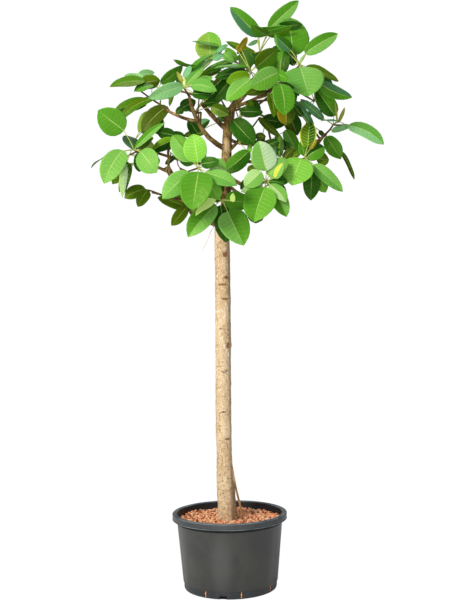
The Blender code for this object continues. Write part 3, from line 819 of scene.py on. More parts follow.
# Leaf greens, some holding painted light: sun is painted sunlight and glow painted backlight; the silvery
# greens, pale and soft are painted sheen; cool and cool_dark are a painted reflection of the sky; deep and
# mid_dark hold painted shade for leaves inside the crown.
TINTS = {
    "sun": (120, 186, 64), "fresh": (102, 166, 48), "mid": (76, 140, 28), "mid_dark": (30, 90, 0),
    "deep": (24, 78, 0), "moss": (80, 114, 0), "olive": (64, 86, 0), "leafy": (114, 173, 74),
    "silver": (130, 188, 120), "silver_pale": (172, 202, 156), "pale": (166, 206, 128),
    "cream": (224, 236, 164), "bright": (220, 255, 138), "cool": (104, 166, 114),
    "cool_dark": (66, 120, 74), "young": (200, 208, 78), "ochre": (122, 112, 4),
    "ochre_pale": (158, 158, 60), "glow": (128, 166, 60), "soft": (96, 160, 62), "lime": (110, 158, 22),
    "fern": (70, 122, 6),
}
TINT_ORDER = list(TINTS)
GREENS = len(TINT_ORDER)
EDGE_FIRST, SIDE_VEIN_FIRST, MIDRIB_FIRST, UNDERSIDE_FINISH = (GREENS * part for part in (1, 2, 3, 4))
# How the margin and the side veins are made lighter than their green: gain and veil.
BLADE_KINDS = (("leaf_", 1.0, 0.0), ("edge_", 1.14, 0.006), ("vein_", 1.28, 0.010))
MIDRIB_LIGHT = srgb(214, 228, 150)
UNDERSIDE = srgb(104, 130, 50)
STALK_GREEN = srgb(176, 190, 100)


def rib_colour(colour):
    """A green taken half of the way to the midrib's pale yellow."""
    return tuple((math.sqrt(a) * 0.5 + math.sqrt(b) * 0.5) ** 2 for a, b in zip(colour, MIDRIB_LIGHT))


def leaf_finishes():
    """Each green for the blade, then for its margin, side veins and midrib, and last the underside."""
    greens = [(name, srgb(*colour)) for name, colour in TINTS.items()]
    made = []
    for kind, gain, veil in BLADE_KINDS:
        for name, green in greens:
            made.append(blade_finish(kind + name, [value * gain + veil for value in green]))
    made += [blade_finish("rib_" + name, rib_colour(green)) for name, green in greens]
    return made + [blade_finish("leaf_underside", UNDERSIDE)]


def blade_finish(name, colour):
    """A plain leaf green with a waxy gloss; fine puckering between the veins."""
    made = Finish(name, colour, 0.40, 0.30)
    made.set("IOR", 1.45)
    made.set("Specular Tint", (0.90, 1.0, 0.40, 1.0))
    pucker = made.grain(95.0)
    made.set("Roughness", made.ramp(pucker, 0.3, 0.7, 0.34, 0.52))
    made.bump(pucker, 0.0022, 0.55)
    made.bump(made.grain(420.0, 2.0), 0.0003, 0.4)
    return made.material


# ---------------------------------------------------------------- leaves

# Places are centimetres in the upright plane through the trunk, as seen from the camera: x to the right,
# z up. back is how far a shoot stands behind that plane, and near how much nearer a leaf's tip is than its
# shoot. turn swings a leaf about its length, in degrees, and lean bows it sideways. tint is one green or
# two, for the left and right halves of a leaf that points up, with a margin of another green after "|".
# Where the two greens differ, the difference is painted light and shade across the fold.
Leaf = namedtuple("Leaf", "x z tip_x tip_z tint width near turn lean", defaults=(0, 0, None))

# Each shoot: its mass, back, the places its twig passes, and its leaves.
SHOOTS = (
    ("left_fan", -10, [(-31.5, 153.8)], (
        (-34.9, 160.7, -44.1, 167.9, "mid", 9.2, 3, 0, 0),
        (-35.6, 153.8, -42.4, 142.4, "leafy", 8.1, 6, 10), (-29.4, 153.3, -24, 145.9, "leafy", 8, 5),
        (-31, 154.6, -20.8, 163.7, "mid/leafy", 5.2, -2, 60),
        (-32, 154, -33.2, 159, "cool_dark", 7, -8, 33), (-30.6, 154, -25, 158.6, "moss", 5.5, -7, 50),
        (-36, 153, -47, 148.4, "mid", 8, -3, 88), (-30, 152.8, -29.8, 146, "mid_dark", 4.2, -3, 10),
    )),
    ("left_fan", -2, [(-31.5, 149)], (
        (-33.5, 149.5, -39.6, 142, "moss", 4.6), (-34.2, 149, -37, 139, "moss|young", 3.2, 1),
        (-34.6, 149, -36, 137.2, "silver_pale/pale", 2.8, 3),
        (-33, 149, -35.5, 138.6, "mid_dark|moss", 3.2, 2),
    )),
    ("whip", 5, [(-14.5, 135.9), (-21.5, 137.6), (-26, 139.4), (-27.5, 139.7)], (
        (-27.8, 140.2, -35.3, 137.1, "moss", 5, 2, 15), (-27, 139.8, -30.6, 133.9, "moss", 4.5, 3),
    )),
    ("low_left", 10, [(-12.2, 134.2)], (
        (-12.4, 132.9, -23.6, 137.4, "moss", 5.2, 0, 20), (-13.4, 133.6, -18.8, 127, "moss", 4.6, 3),
        (-12, 133.4, -9.6, 130, "olive", 3.4), (-13, 135, -17.5, 138.5, "deep", 4, -2, 20),
    )),
    ("front_left", -32, [(-15.4, 147), (-13, 145.8), (-9.2, 147.1)], (
        (-9.1, 145.9, -11.5, 132.5, "mid", 10.7, 6),
        (-12, 145.7, -21.9, 136.6, "soft/leafy", 6.8, 4, 10, 0), (-9.2, 149, -10.8, 159.2, "sun", 7.9),
        (-11.1, 149.6, -18, 159, "leafy/mid", 7.2, -3, 15), (-5, 147.8, 0.9, 146.3, "leafy/pale", 5.8),
        (-8.2, 148.6, -1.8, 149.6, "mid_dark", 3.8, 3), (-6.8, 145.5, 4.4, 141, "leafy/soft", 4.9, 4, 12),
        (-5, 142.2, -2, 135.8, "fresh", 4.6, -2), (-10.5, 148.6, -15.6, 149.9, "deep", 3, -2, 20),
    )),
    ("front_left", -14, [(-2, 143)], (
        (-1.6, 141.8, -0.4, 138.6, "deep", 2),
    )),
    ("front_low", -22, [(-1, 135.7)], (
        (0.8, 131.8, 6.6, 120, "mid/leafy", 10, 6), (-3.3, 133.9, -13.2, 123.1, "leafy/mid", 7.2, 5, 5),
        (-1.6, 134, 0.4, 120.8, "deep", 6.4, 2), (0, 135.3, 8.4, 134.6, "mid", 6.8, -2),
        (-1.2, 135.5, -5, 137.5, "deep", 3.5, -3), (2.6, 135, 3, 138, "bright", 1.8, 3),
        (-3.3, 136.2, -10.4, 130.8, "bright", 3, 5.6, 28), (1, 133, 3.4, 129, "deep", 4, -6, 10),
    )),
    ("front_right", -24, [(14.6, 141.8)], (
        (14.3, 140, 10, 127.9, "fresh/mid", 10.5, 7), (12.9, 145.5, 7.1, 140.2, "leafy/pale", 5.8, 3),
        (13.4, 141, 5.8, 138.6, "pale", 3.4, 3), (8.6, 142.9, 5.6, 139.3, "deep", 2.6),
        (14.9, 145.7, 12.3, 156.4, "leafy/silver_pale", 8.4), (15.5, 143.8, 22, 150, "leafy", 6, -1),
        (17.8, 142.9, 20.8, 148.4, "young/leafy", 2.8, 2, 10), (15.5, 142, 21.4, 141, "mid_dark", 3, 1, 30),
        (16, 142, 21.8, 138.5, "deep", 3.5, -2, 20), (16.8, 143.4, 22.3, 141.4, "deep", 3.2),
        (17, 140.2, 21.8, 129.6, "leafy/mid", 5.8, 3, 10), (16, 141, 21.8, 134.6, "leafy/pale", 4.2, 4, 10),
        (11, 133, 10.8, 127.2, "deep", 5.4, -3), (12, 145, 8.1, 147.3, "olive", 3.5, -4),
    )),
    ("low_right", -16, [(28.2, 150)], (
        (27.1, 149.9, 23.5, 140.8, "sun", 11, 6), (31.4, 147.7, 41.7, 138.3, "leafy/soft", 4.7, 2, 10),
        (31, 146.4, 30.2, 135.1, "mid_dark", 6), (32.6, 145, 35.6, 137.8, "fresh", 4.8, -2, 10),
        (31.5, 147, 34, 142.5, "deep", 4, -3), (32.4, 149.6, 37, 149.4, "moss", 4.6, -2),
        (28.8, 150.2, 35.4, 154, "mid_dark/mid", 6.2, -1),
        (29.5, 153.7, 30.4, 162.9, "moss/deep|young", 5.8), (28.4, 150.6, 27, 156, "mid", 3, -2, 10),
        (30.2, 153, 32.7, 156.6, "ochre", 1.6, 1),
    )),
    ("low_right", -9, [(20.5, 149.8)], (
        (14.8, 154.6, 20.4, 156.8, "deep", 2.6), (17.6, 150.3, 16.4, 156.2, "cool_dark", 2.6, 0, 10),
        (19.4, 150.4, 19.8, 158.4, "moss/deep", 2.8), (21, 150, 24.4, 153.4, "olive", 3),
        (24, 150.4, 27, 152.4, "moss", 2.2), (20.8, 152, 16, 153.2, "mid_dark", 2.4),
        (22.4, 153, 18, 158, "deep", 3, -2), (25, 151, 22, 156, "deep", 3, -3, 10),
    )),
    ("right_tip", 2, [(33.2, 155), (35.5, 158), (37.5, 160), (38.5, 161.5), (43, 161.3)], (
        (43.9, 161.3, 56.4, 154.7, "soft/silver", 5.2, 4, 15, 0.06),
        (37.9, 159.2, 45, 161.2, "silver", 2.8, 0, 30), (41.5, 162.4, 34.2, 163.2, "cool", 3, 0, 80),
        (39.3, 164.7, 32.9, 173.8, "mid_dark/mid", 6.4, -1, 0, 0),
        (35.3, 163.3, 27.1, 170.9, "cool_dark", 3.2, 0, 20),
        (31.7, 160.4, 23.4, 171.6, "cool_dark", 3, -3, 20), (36.1, 157.5, 41, 149.5, "mid", 5.8, 3, 0, 0),
        (41.2, 152.2, 46, 142.4, "moss/olive", 2.2, 0, 40), (35.2, 157.8, 33.4, 159.6, "deep", 1.7),
        (40.3, 162.2, 42.7, 167.7, "ochre_pale", 1.3), (40, 162.4, 39.3, 169.8, "ochre_pale", 0.8, 1),
    )),
    ("right_tip", -4, [(30, 162)], (
        (28, 164.6, 24.5, 169.2, "deep", 2.6),
    )),
    ("top_right", -10, [(27.2, 182.8)], (
        (24.9, 186, 23.7, 199.9, "mid", 11.8, -6), (24.3, 187.8, 19.1, 193, "cool_dark/mid_dark", 3.8, 2),
        (24.6, 182.6, 24.2, 188.6, "mid_dark", 3.8, -8),
        (28.9, 186.8, 40.8, 193.7, "mid/leafy", 5.5, 0, 12, 0.02),
        (27.3, 182, 30, 171.9, "leafy/soft", 13.6, 7, 0, 0), (29, 182, 40.8, 177.1, "moss", 4.6, -4, 50),
        (26.8, 183.2, 29.4, 186.8, "pale", 1.1), (20, 189.3, 17.9, 193.8, "pale", 1.3, -6),
        (24, 188.9, 16.5, 188.1, "deep", 3.6, -5, 30), (20.2, 179.6, 21.6, 188.2, "mid/mid_dark", 6.4, -1),
        (19.2, 180.6, 15.5, 182.6, "deep", 2.6, -3),
        (33.3, 176.6, 45.5, 171.1, "cool_dark/mid", 4.8, -3, 15, -0.06),
    )),
    ("right_front", -20, [(20.1, 176.2)], (
        (20.2, 176.3, 21.6, 165.4, "mid", 7.6, 5), (20.5, 176.4, 26, 170.4, "mid_dark", 4.6, -3),
        (16.6, 173.3, 18, 164.7, "moss", 3.6, 0, 10), (15.2, 174.8, 8, 172.8, "olive", 3, 6),
        (21.8, 168, 22.1, 161.6, "olive/ochre", 6), (19.7, 180.4, 9.7, 175.3, "fresh/leafy", 7, 6, 10),
        (19, 180, 23, 177.8, "mid", 3.4, 4),
    )),
    ("top_front", -16, [(9.7, 180.5)], (
        (9, 182.2, -3, 182.3, "mid_dark/mid", 4, 2, 72), (8.5, 180.6, -3, 178.9, "deep", 5, -2, 40),
        (9.5, 179.2, 1.3, 177.2, "lime", 5, 3), (10, 178.2, 1.1, 170.6, "fresh/leafy", 5.8, 5, 15),
        (9.6, 182, 7, 188.4, "deep", 5.6, -1), (11.6, 182, 19.4, 188.2, "moss/fern", 7.4, 0, -31),
        (5.3, 187.4, 9, 193, "ochre", 2.2, -2), (7, 188, 4.8, 190, "ochre", 1.6, -2),
        (10, 183.5, 12.6, 187, "mid_dark", 3, -4, 20),
    )),
    ("top_middle", -3, [(13.2, 187.6)], (
        (12.9, 192.9, 3.1, 203.8, "cool_dark/mid", 5.6, 0, 10),
        (16.3, 195.5, 27.2, 205.6, "mid/leafy", 5.4, 0, 15),
        (16, 193.4, 10.4, 196.9, "mid/fern", 4.9, 6, -40),
        (15.6, 193.6, 24.6, 195.9, "mid/fern", 4.5, 6, -40), (12, 195.7, 23.8, 196.2, "mid", 2.9, 6, -42),
        # The deep leaf that follows is a dark sheet over the top of the big leaf: a painted shadow of the
        # leaf above it.
        (19.3, 196.2, 28.2, 196.9, "deep", 3.4, 4), (12.5, 191.6, 9, 189.9, "cool", 1.5),
        (11.8, 187, 1.3, 191.8, "mid_dark/moss", 2.6, -2, 20, 0.07),
    )),
    ("top_left", 0, [(9.5, 181.3), (4.4, 184.3)], (
        (-3.9, 185, -4.9, 195.1, "glow/fresh", 9.5, -2, 0, 0),
        (0.9, 189.2, -10.5, 191.9, "mid_dark/mid", 2.4, 1, 60), (0.3, 187.4, 4, 184, "soft", 3, 1),
        (1, 188.9, 5.4, 185, "mid", 2.6, 0.5), (3.7, 184.2, -8, 180, "deep", 4, 0, 50),
        (3.6, 184.5, -4.6, 182, "leafy", 2.4), (-0.5, 181.8, -10.6, 178.4, "moss", 2.6),
        (8.6, 189.6, 5, 187.2, "mid_dark", 2.4, 1),
    )),
    ("upper_left", -15, [(-13.7, 175.3)], (
        (-14, 176.2, -26.4, 171.9, "silver", 4.8, 3), (-17.8, 174.8, -18.9, 169, "moss", 1.6, -1),
        (-15.4, 175, -20.4, 172.4, "deep", 1.8, -3), (-11.2, 176.2, -2.3, 174.2, "soft", 4.5, 4, 0, 0.08),
        (-9.5, 176.6, -3.6, 178.9, "soft", 2.8, 3.4), (-13, 176.4, -6.2, 183, "soft/leafy", 3.2, 0, 20),
        (-12.5, 179.8, -0.5, 188.6, "mid/mid_dark", 4.4, -2, 66),
        (-2.2, 187.6, 2.2, 190.4, "cool", 1.6, -1), (-9, 181.2, -3.3, 185.4, "cool", 2, -1),
        (-3.2, 185, 0.2, 187.2, "cool", 2.2, -1), (-14.2, 177, -16.2, 181.2, "ochre_pale", 1.4),
        (-10.8, 173.3, -3.8, 172.6, "mid_dark", 4, 1, 20), (-9, 182.6, -17.4, 185.1, "fern", 3.2, -4, -62),
        (-13.6, 178.8, -11.2, 183.2, "cool", 2.4, 0, 20), (-15, 175.8, -16.3, 179, "deep", 1.5),
        (-13.6, 175.6, -13.4, 179.4, "cream", 0.9),
    )),
    ("left_shelf", 1, [(-19, 167.5), (-22, 169.5), (-25, 171.5), (-29, 174.5)], (
        (-27.5, 179.4, -34.6, 180.1, "silver", 2.6, -2), (-29.7, 180.3, -23.9, 180.9, "silver", 2.8, -3),
        (-27.3, 177.8, -39.8, 176.5, "moss/fern", 5.6, 2, 48),
        (-28.8, 177.2, -22, 178.2, "moss/olive", 5.2, -2),
        (-24.6, 176.6, -31.4, 174.6, "mid/mid_dark", 5, 3, 58),
        (-22, 177.1, -13.8, 183, "mid", 4.9, 0, -33),
        (-26.5, 171, -38.4, 167.7, "deep/fern", 4.6, 2, 0, -0.01),
        (-24.3, 172, -36.8, 164.4, "fern/moss", 3.2, 4, 15, -0.07),
        (-19.6, 169, -28.8, 159.9, "olive", 6.1, 3, 0, -0.04), (-24.5, 167, -29.9, 159.9, "glow", 5, 1.5),
    )),
    ("left_inner", 0, [(-16.8, 157.2)], (
        (-17, 158.6, -23.6, 160, "deep", 4.4), (-16.8, 157.2, -25.4, 153.4, "deep/lime", 4.6, 1, 15),
        (-17.3, 151.5, -20.8, 148.6, "deep", 1.9), (-18, 159.5, -13.5, 158, "deep", 2.4, -2),
    )),
    ("centre_left", -5, [(-12, 167.3)], (
        (-15, 168, -9.6, 170.9, "deep", 4.4), (-14, 168, -16.8, 166.7, "deep", 2.8),
        (-7, 169.8, -1, 170.5, "mid_dark", 3), (-4.2, 168.6, 1.8, 165.8, "moss/glow", 4.4, 2),
        (3, 178.2, -4.4, 169, "mid_dark", 5, 0, 10), (0, 178.6, -2.6, 174.6, "olive", 3.6, -1),
    )),
    ("centre_left", 18, [(-8.3, 160)], (
        (-8.6, 158.4, -12.3, 164.4, "deep", 4.5), (-9.3, 161, -4.8, 164, "cool/deep", 3.4),
        (-6.3, 159.7, -14.3, 158.6, "moss", 2.8), (1, 163.6, -2.2, 165, "deep", 2),
    )),
    ("centre_right", -5, [(5.5, 164)], (
        (3.2, 163.8, 10.9, 155.3, "mid_dark", 7.2, 2), (11, 158, 14.9, 157.8, "olive", 2.5),
        (9, 166, 10, 170.8, "moss", 3), (5.6, 166.7, 14, 166.4, "deep", 4.1),
        (9, 169.8, 13.2, 166.2, "deep", 3.4, -2), (8.9, 152.8, -0.6, 145.2, "mid_dark/mid", 5.8, 2),
        (9.3, 155.5, 8.8, 151.8, "sun", 1.8),
    )),
    ("back_right", 12, [(15, 163)], (
        (12.3, 164.6, 20.1, 157.5, "moss", 2.7, 1), (13.5, 163.8, 22, 162.2, "deep", 5.3),
        (21.6, 160, 26.2, 151.5, "mid/soft", 4.8, 2), (22.5, 166, 26, 158, "deep/olive", 6.4),
        (19, 167, 18.5, 160.5, "deep", 4),
    )),
)

# Outline of a blade: share of its length, share of its half width.
OUTLINE = (
    (0.0, 0.0), (0.03, 0.37), (0.11, 0.70), (0.23, 0.90), (0.37, 1.0), (0.52, 0.99), (0.66, 0.90),
    (0.79, 0.72), (0.89, 0.47), (0.955, 0.22), (1.0, 0.0),
)
# The rows of points that run along a blade, in shares of its half width.
COLUMNS = (-1.0, -0.86, -0.43, 0.0, 0.43, 0.86, 1.0)
BLADE_THICKNESS = 0.0009
# How leaves differ: fold in degrees, edge wave in metres, and the rest as shares of length or half width.
FOLDS = (5, 15)
ARCHES = (0.02, 0.07)
CURLS = (0.05, 0.16)
BOW = 0.035
WAVE = 0.0030
LOPSIDED = 0.06
PLUMP = 0.05
# Side veins: their count on each side, their lean towards the tip, where each passes from the midrib
# outwards, how it thins, and the least half width of blade, in metres, that still takes one.
SIDE_VEINS = 8
HIDDEN_VEINS = 4
VEIN_LEAN = 0.15
VEIN_PLACES = (0.03, 0.32, 0.62, 0.90)
VEIN_TAPER = (0.50, 0.46, 0.38, 0.15)
VEIN_ROOM = 0.006
MIDRIB_PLACES = (0.0, 0.15, 0.35, 0.55, 0.75, 0.92, 0.985)
# How far a vein's crest and its edges stand off the blade.
RIDGE = 0.0006
RIDGE_FOOT = 0.0001
# A leaf's stalk: its radii, its bow as a share of its length, and where along the blade it ends.
PETIOLE_RADII = (0.0019, 0.001425)
PETIOLE_RISE = 0.10
PETIOLE_END = 0.06
TWIG_RADII = (0.0042, 0.0030)
# How near a limb's end its last points are.
LIMB_END = 0.016


def seen(x, z, back):
    """The point that the camera sees at (x, z) cm of the middle plane, back cm behind that plane."""
    there = Vector((x * CM, 0.0, z * CM))
    return EYE + (there - EYE) * ((EYE_DISTANCE + back * CM) / EYE_DISTANCE)


def in_view(point):
    """Where the camera sees a point, in cm of the middle plane."""
    there = EYE + (point - EYE) * (EYE_DISTANCE / (EYE_DISTANCE + point.y))
    return Vector((there.x / CM, there.z / CM))


class Blade:
    """The form of one leaf: places on its upper face by shares of its length and of its half width."""

    def __init__(self, base, tip, width, turn, random, lean=None):
        self.base = base
        self.length = (tip - base).length
        self.along = (tip - base).normalized()
        self.half = width / 2
        facing = EYE - (base + tip) / 2
        facing = (facing - self.along * facing.dot(self.along)).normalized()
        upward = facing.cross(self.along)
        if upward.z < 0:
            upward = -upward
        turn = math.radians(turn)
        self.normal = (facing * math.cos(turn) + upward * math.sin(turn)).normalized()
        self.side = self.normal.cross(self.along)
        self.fold = math.radians(random.uniform(*FOLDS))
        self.arch = self.length * random.uniform(*ARCHES)
        self.curl = self.half * random.uniform(*CURLS)
        bow = random.uniform(-BOW, BOW)
        self.lean = (bow if lean is None else lean) * self.length
        self.wave = random.uniform(0.0, WAVE)
        self.phase = random.uniform(0, math.tau)
        self.uneven = random.uniform(-LOPSIDED, LOPSIDED)
        self.plump = random.uniform(-PLUMP, PLUMP)

    def share(self, along):
        """Share of the half width at a share of the length."""
        for (start, low), (end, high) in zip(OUTLINE, OUTLINE[1:]):
            if along <= end:
                return low + (high - low) * (along - start) / (end - start)
        return 0.0

    def place(self, along, across, share=None, proud=0.0):
        """A point of the upper face, or proud of it."""
        share = self.share(along) if share is None else share
        share *= 1.0 + self.plump * math.sin(math.tau * along)
        out = across * self.half * share * (1.0 + self.uneven * across)
        arched = self.arch * 4 * along * (1 - along) - self.arch * 0.9 * along**4
        folded = abs(out) * math.sin(self.fold) - self.curl * (across * share) ** 2
        waved = self.wave * abs(across) * math.sin(along * 8 + self.phase + across)
        bent = self.lean * math.sin(math.pi * along)
        point = self.base + self.along * (self.length * along)
        point += self.side * (out * math.cos(self.fold) + bent)
        return point + self.normal * (arched + folded + waved + proud)


def faces_upward(blade, faces):
    """Whether faces point the way of the blade's upper face, on the whole."""
    return sum((face.normal for face in faces), Vector()).dot(blade.normal) > 0


def blade_mesh(blade, green, margin):
    """A thin closed leaf: a grid laid into the outline, then given its thickness."""
    bm = bmesh.new()
    rows, columns = len(OUTLINE) - 1, len(COLUMNS) - 1
    bmesh.ops.create_grid(bm, x_segments=rows, y_segments=columns, size=1.0)
    for face in bm.faces:
        middle = face.calc_center_median()
        outer = abs(middle.y) > 1.0 - 2.0 / columns
        face.material_index = (margin if outer else green)[middle.y > 0]
    for vertex in bm.verts:
        along, share = OUTLINE[round((vertex.co.x + 1) / 2 * rows)]
        across = COLUMNS[round((vertex.co.y + 1) / 2 * columns)]
        vertex.co = blade.place(along, across, share)
    bmesh.ops.remove_doubles(bm, verts=bm.verts, dist=MERGE)
    bmesh.ops.recalc_face_normals(bm, faces=bm.faces)
    if faces_upward(blade, bm.faces):
        bmesh.ops.reverse_faces(bm, faces=bm.faces)
    sheet = bmesh.ops.extrude_face_region(bm, geom=list(bm.faces))["geom"]
    lower = [item for item in sheet if isinstance(item, bmesh.types.BMVert)]
    bmesh.ops.translate(bm, verts=lower, vec=-blade.normal * BLADE_THICKNESS)
    bm.normal_update()
    for face in bm.faces:
        if face.normal.dot(blade.normal) < -0.3:
            face.material_index = UNDERSIDE_FINISH
    return bm


def ribbon(bm, blade, path, wide, finish):
    """A low pale ridge laid on the blade through (along, across) places; wide is its half width at each."""
    steps = len(path) - 1
    made = bmesh.ops.create_grid(bm, x_segments=steps, y_segments=2, size=1.0)["verts"]
    for vertex in made:
        step = round((vertex.co.x + 1) / 2 * steps)
        hand = round(vertex.co.y)
        before, after = path[max(step - 1, 0)], path[min(step + 1, steps)]
        heading = Vector(((after[0] - before[0]) * blade.length, (after[1] - before[1]) * blade.half))
        heading.normalize()
        along = path[step][0] - hand * heading.y * wide[step] / blade.length
        across = path[step][1] + hand * heading.x * wide[step] / blade.half
        vertex.co = blade.place(along, across, proud=RIDGE_FOOT if hand else RIDGE)
    faces = list({face for vertex in made for face in vertex.link_faces})
    if not faces_upward(blade, faces):
        bmesh.ops.reverse_faces(bm, faces=faces)
    for face in faces:
        face.material_index = finish


def veins_mesh(blade, green, side_veins):
    """The pale midrib and the softer side veins, low ridges on the blade."""
    bm = bmesh.new()
    thick = min(0.0022, 0.0007 + blade.half * 0.034)
    midrib = [(share, 0.0) for share in MIDRIB_PLACES]
    taper = [thick * (1.15 - 0.85 * share) for share in MIDRIB_PLACES]
    ribbon(bm, blade, midrib, taper, MIDRIB_FIRST + green[0])
    taper = [thick * part for part in VEIN_TAPER]
    for index in range(side_veins):
        root = (index + 0.75) / (side_veins + 1.0)
        for hand in (-1, 1):
            alongs = [min(root + VEIN_LEAN * across * (1.0 - 0.25 * across), 0.97) for across in VEIN_PLACES]
            path = [(along, hand * across) for along, across in zip(alongs, VEIN_PLACES)]
            if blade.share(alongs[-1]) * blade.half > VEIN_ROOM:
                ribbon(bm, blade, path, taper, SIDE_VEIN_FIRST + green[hand > 0])
    bm.normal_update()
    return bm


def stalk_mesh(start, end):
    """A leaf's stalk, bowed upwards a little."""
    bm = bmesh.new()
    middle = (start + end) / 2 + UP * (end - start).length * PETIOLE_RISE
    tube(bm, bend(start, middle, end, 5), even_steps(*PETIOLE_RADII, 5), 6)
    return bm


# Turned at least this much, in degrees, a leaf is seen edge on and has no veins.
STEEP = 62
# A leaf turned no more than SWINGS_UNDER swings some degrees more, mostly upwards.
SWINGS_UNDER = 30
SWING = (7, 17)
SWING_SIDES = (-1, 1, 1, 1)
# Tips that come forward reach past their near by this, and a leaf's base follows its tip by a share.
REACH = 1.25
BASE_REACH = 0.35
# Hidden leaves: greens, mostly dark ones that hold painted shade, tries, spread, lengths in metres, widths
# and droops as shares of the length, gaps from the shoot in metres, turns in degrees, and how far behind a
# nearer leaf they keep.
HIDDEN_TINTS = ("deep", "deep", "mid_dark", "mid_dark", "mid", "moss")
HIDDEN_TRIES = 160
HIDDEN_PER_SHOOT = 4
HIDDEN_SPREAD = 0.7
HIDDEN_LENGTHS = (0.070, 0.125)
HIDDEN_WIDTHS = (0.50, 0.68)
HIDDEN_GAPS = (0.015, 0.045)
HIDDEN_DROOPS = (0.0, 0.35)
HIDDEN_TURNS = (0, 25, 50, 75, 100, 140, 180)
HIDDEN_BEHIND = 0.008
HIDDEN_AWAY = 0.6
# The places along and across a hidden leaf that all have to be covered.
HIDDEN_SPOTS = [(u, w) for u in (0.5, 0.0, 1.0, 0.25, 0.75, 0.12, 0.9) for w in (1, -1, 0, 0.5, -0.5)]
# The least share of its width that a leaf seen edge on is taken to cover.
LEAST_VIEW = 0.22
# The angle from one leaf to the next round a shoot.
LEAF_SPIRAL = math.radians(137.5)
# Bare inner twigs: how far behind the middle plane, the places they pass, and their radius in metres,
# which falls to INNER_TAPER of itself.
INNER_TAPER = 0.8
INNER_TWIGS = (
    (-5, [(-19.3, 147), (-19.4, 149.4), (-18.6, 152.6)], 0.0030),
    (-6, [(-8.6, 163.2), (-8.9, 167.4), (-8.4, 172.2), (-9.6, 174)], 0.0026),
    (-1, [(4, 167.3), (9, 167.8), (12.6, 169.2), (15.8, 171.6), (17.6, 174.6)], 0.0044),
    (8, [(9.6, 160.4), (12.6, 164.4)], 0.0034),
    (-30, [(-17.1, 152.6), (-16.2, 148.2), (-15.4, 147)], 0.0022),
    (-3, [(-5.9, 169.8), (-5, 172.4)], 0.0050),
    (2, [(9.4, 173), (8.6, 176.6), (8.5, 181)], 0.0032),
)
# Where the shoots of the far side end, in metres.
REAR_SHOOTS = {
    "rear_low_left": ((-0.13, 0.22, 1.45), (-0.09, 0.30, 1.41)),
    "rear_low_right": ((0.14, 0.21, 1.42), (0.16, 0.30, 1.38)),
    "rear_left": ((-0.33, 0.17, 1.60), (-0.36, 0.26, 1.56), (-0.30, 0.22, 1.66)),
    "rear_top": ((0.14, 0.18, 1.92), (0.20, 0.24, 1.86), (0.22, 0.16, 1.95)),
    "rear_mid": ((0.04, 0.30, 1.74), (0.02, 0.38, 1.68), (-0.02, 0.26, 1.78)),
    "rear_right": ((0.30, 0.17, 1.81), (0.34, 0.25, 1.75)),
    "rear_upper_left": ((-0.17, 0.22, 1.80), (-0.24, 0.28, 1.78)),
}
REAR_PER_SHOOT = 9


def swung(width, turn, random):
    """Width and turn of a leaf turned a little more about its length, and still as wide to the camera."""
    if abs(turn) > SWINGS_UNDER:
        return width, turn
    more = turn + random.choice(SWING_SIDES) * random.uniform(*SWING)
    return width * math.cos(math.radians(turn)) / math.cos(math.radians(more)), more


